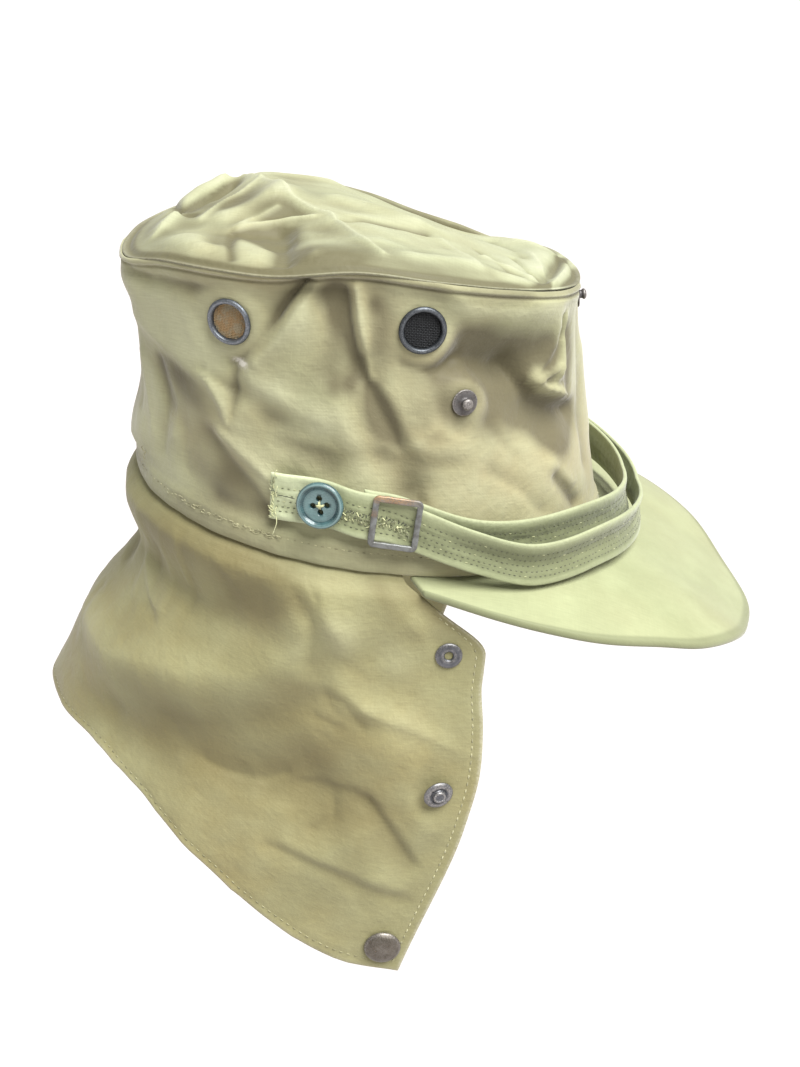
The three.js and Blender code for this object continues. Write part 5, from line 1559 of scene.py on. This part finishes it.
parts = stitchRow(crownSurface, bandPath, *stitches["crownBand"])
tones = [0.7 if k % 2 else 0.2 for k in range(len(parts))]
threadPiece("crown_band_stitches", parts, tones, khakiThread)
for run in ("outer", "inner"):
    parts, tones = [], []
    for k, seam in enumerate(strap["seams"]):
        path = [(way, seam) for way in np.linspace(-0.99, 0.99, 60)]
        row = stitchRow(faceOf(strapFine, run), path, *stitches["strap"], 0.0, k * 0.7)
        parts += row
        tones += [0.6 if (j * 7 + k * 3) % 11 == k else 0.05 for j in range(len(row))]
    threadPiece(f"chin_strap_{run}_stitches", parts, tones, greenThread)

# long thread ends at the strap's raw end: where they start across it, then along, up and out
strapThreads = [
    (0.1, [(0.5, -2.5, 0.6), (-0.3, -5.5, 0.9), (-1.2, -7.8, 0.8)]),
    (0.55, [(2.4, 0.3, 0.3), (7.5, 0.0, 0.2)]),
    (0.6, [(-1.4, 0.9, 0.3), (-2.6, 0.6, 0.2)]),
    (0.95, [(-0.8, 1.6, 0.4), (0.2, 3.1, 0.5)]),
    (0.5, [(-0.2, 2.4, 0.6), (0.5, 5.0, 0.4)]),
    (0.3, [(-0.6, -2.0, 0.5), (0.3, -4.2, 0.4)]),
]


def loosePart(surface, spot, ends, radius, lift=0.3):
    # a thread end: starts at a spot of a chart and wanders off, in millimetres (along, up, out)
    u, v = spot
    e = 0.004
    here = surface(np.array(u), np.array(v))
    along = unit(surface(np.array(u + e), np.array(v)) - here)
    normal = outwards(here)
    normal = unit(normal - dots(normal, along) * along)
    up = np.cross(normal, along)
    up = up * np.sign(up[2])
    rows = np.array([(0, 0, 0)] + list(ends), float)
    t = np.linspace(0, len(rows) - 1, 4 * len(rows) + 1)
    rows = np.stack([lineThrough(np.arange(len(rows)), rows[:, k], t) for k in range(3)], axis=1)
    line = here + rows[:, :1] * along + rows[:, 1:2] * up + (rows[:, 2:] + lift) * normal
    return tube(line, radius, 5)


buttonhole = {
    "from": -94.5,
    "to": -79,
    "upper": 0.52,
    "lower": 0.36,
    "bite": 1.6,
}
frays = {                       # how many thread ends, and how thick
    "buttonhole": (26, 0.16),
    "strap": (34, 0.11),
    "strapLong": 0.17,          # thickness of the longer ones
    "crownBand": (64, 0.1),
    "crownLong": 0.2,
}
parts, tones = [], []
for level, tone, thick, gap, slant, drift in [
        ("upper", 0.0, 0.46, 1.3, 2.4, 0.0), ("upper", 0.15, 0.34, 1.7, -1.3, 0.03),
        ("lower", 0.8, 0.34, 1.2, -3.0, 0.0), ("lower", 0.2, 0.34, 1.9, 1.1, 0.05)]:
    line = [(turn / strapEnd, buttonhole[level] + drift + 0.03 * math.sin(turn * 1.7 + 9 * drift))
            for turn in np.linspace(buttonhole["from"], buttonhole["to"], 16)]
    row = stitchRow(strapSurface, line, gap, buttonhole["bite"], thick, 0.0, slant, 0.4 * gap)
    parts += row
    tones += [tone if j % 4 else 0.4 for j in range(len(row))]
count, thick = frays["buttonhole"]
for k in range(count):
    wander = np.sin(np.array([k * 2.3, k * 4.1 + 1, k * 1.7 + 2, k * 3.3]))
    turn = buttonhole["from"] + (k * 7 % count) / count * (buttonhole["to"] - buttonhole["from"])
    ends = [(0.8 * wander[0], 0.7 * wander[1], 0.5), (1.6 * wander[2], 1.3 * wander[3], 0.2)]
    parts.append(loosePart(strapSurface, (turn / strapEnd, 0.43 + 0.08 * wander[3]), ends, thick))
    tones.append(0.25 if k % 3 else 1.0)
threadPiece("buttonhole_right_stitches", parts, tones, greenThread)

parts, tones = [], []
count, thick = frays["strap"]
for side in sides.values():
    for k in range(count):
        wander = np.sin(np.array([k * k * 2.7 + 1, k * k * 1.9, k * 3.7, k * k * 5.1 + 2]))
        reachOut = 0.9 + 0.8 * wander[0] + 0.5 * wander[3]
        ends = [(side * reachOut * 0.6, 0.8 * wander[1], 0.1),
                (side * reachOut, 1.6 * wander[1] + 0.8 * wander[2], 0)]
        startUp = 0.04 + 0.92 * (k * 11 % count) / (count - 1) + 0.02 * wander[2]
        parts.append(loosePart(strapSurface, (side * 0.992, startUp), ends, thick))
        tones.append(1.0 if k % 3 else 0.4)
    for k, (startUp, ends) in enumerate(strapThreads):
        flipped = [(side * -x, y, z) for x, y, z in ends]
        parts.append(loosePart(strapSurface, (side * 0.985, startUp), flipped, frays["strapLong"]))
        tones.append(0.0 if k in (1, 2) else 0.95)
threadPiece("chin_strap_frays", parts, tones, greenThread)

parts, tones = [], []
count, thick = frays["crownBand"]
for k in range(count):
    wander = np.sin(np.array([k * k * 2.1, k * 3.9 + 1, k * k * 1.3 + 2]))
    turn = -112 - 34 * ((k * 13 % count) / (count - 1)) ** 1.6
    ends = [(1.2 * wander[0], 0.3 * wander[1], 0.1), (2.6 * wander[0] + 0.4, 0.6 * wander[2], 0)]
    startUp = crown["bandRise"] - 0.02 + 0.006 * wander[1]
    parts.append(loosePart(crownSurface, (turn, startUp), ends, thick))
    tones.append(0.8 if k % 3 else 0.2)
for ends in [[(-1.2, 0.8, 0.6), (-1.0, 2.4, 1.2), (0.6, 3.2, 1.4)], [(-0.4, -1.2, 0.8), (0.5, -2.6, 1.1)]]:
    parts.append(loosePart(crownSurface, (-157.5, 0.155), ends, frays["crownLong"]))
    tones.append(0.35)
threadPiece("crown_band_frays", parts, tones, khakiThread)
print("stitching: sewn")


# Studio: a pale floor, soft light and the camera of the photograph
studio = {
    "floor": -0.9,
    "floorColour": (186, 182, 182),
    "world": 0.42,
    "worldColour": (1.0, 0.985, 0.95, 1.0),
    "sun": 7.2,
    "sunFrom": (0.35, -0.31, 0.86),
    "sunSoftness": 42,
    "lens": 50.0,
    "cameraPlace": (0.014, -0.5723, 0.2672),
    "cameraDown": 27.3,
}


def makeStudio():
    corners = [(x, y, studio["floor"]) for x, y in [(-9, -9), (9, -9), (9, 9), (-9, 9)]]
    mesh = bpy.data.meshes.new("floor")
    mesh.from_pydata(corners, [], [(0, 1, 2, 3)])
    floor = linked("studio_floor", mesh)
    material, _, shader, _ = newMaterial("studio_paper")
    feed(shader, {"Base Color": tint(*studio["floorColour"]), "Roughness": 0.9, "Specular IOR Level": 0.1})
    mesh.materials.append(material)

    world = bpy.data.worlds.new("studio_world")
    bpy.context.scene.world = world
    world.use_nodes = True
    feed(world.node_tree.nodes["Background"], {"Color": studio["worldColour"], "Strength": studio["world"]})

    light = bpy.data.lights.new("softbox", "SUN")
    light.energy = studio["sun"]
    light.angle = math.radians(studio["sunSoftness"])
    lamp = linked("softbox", light)
    lamp.rotation_mode = "QUATERNION"
    lamp.rotation_quaternion = (-Vector(studio["sunFrom"])).to_track_quat("-Z", "Y")

    lens = bpy.data.cameras.new("camera")
    lens.lens = studio["lens"]
    lens.sensor_width = 36.0
    camera = linked("camera", lens)
    camera.location = studio["cameraPlace"]
    camera.rotation_euler = (math.radians(90 - studio["cameraDown"]), 0, 0)
    bpy.context.scene.camera = camera


makeStudio()
bpy.context.scene.view_settings.view_transform = "Standard"
bpy.context.view_layer.update()
print("studio: ready")
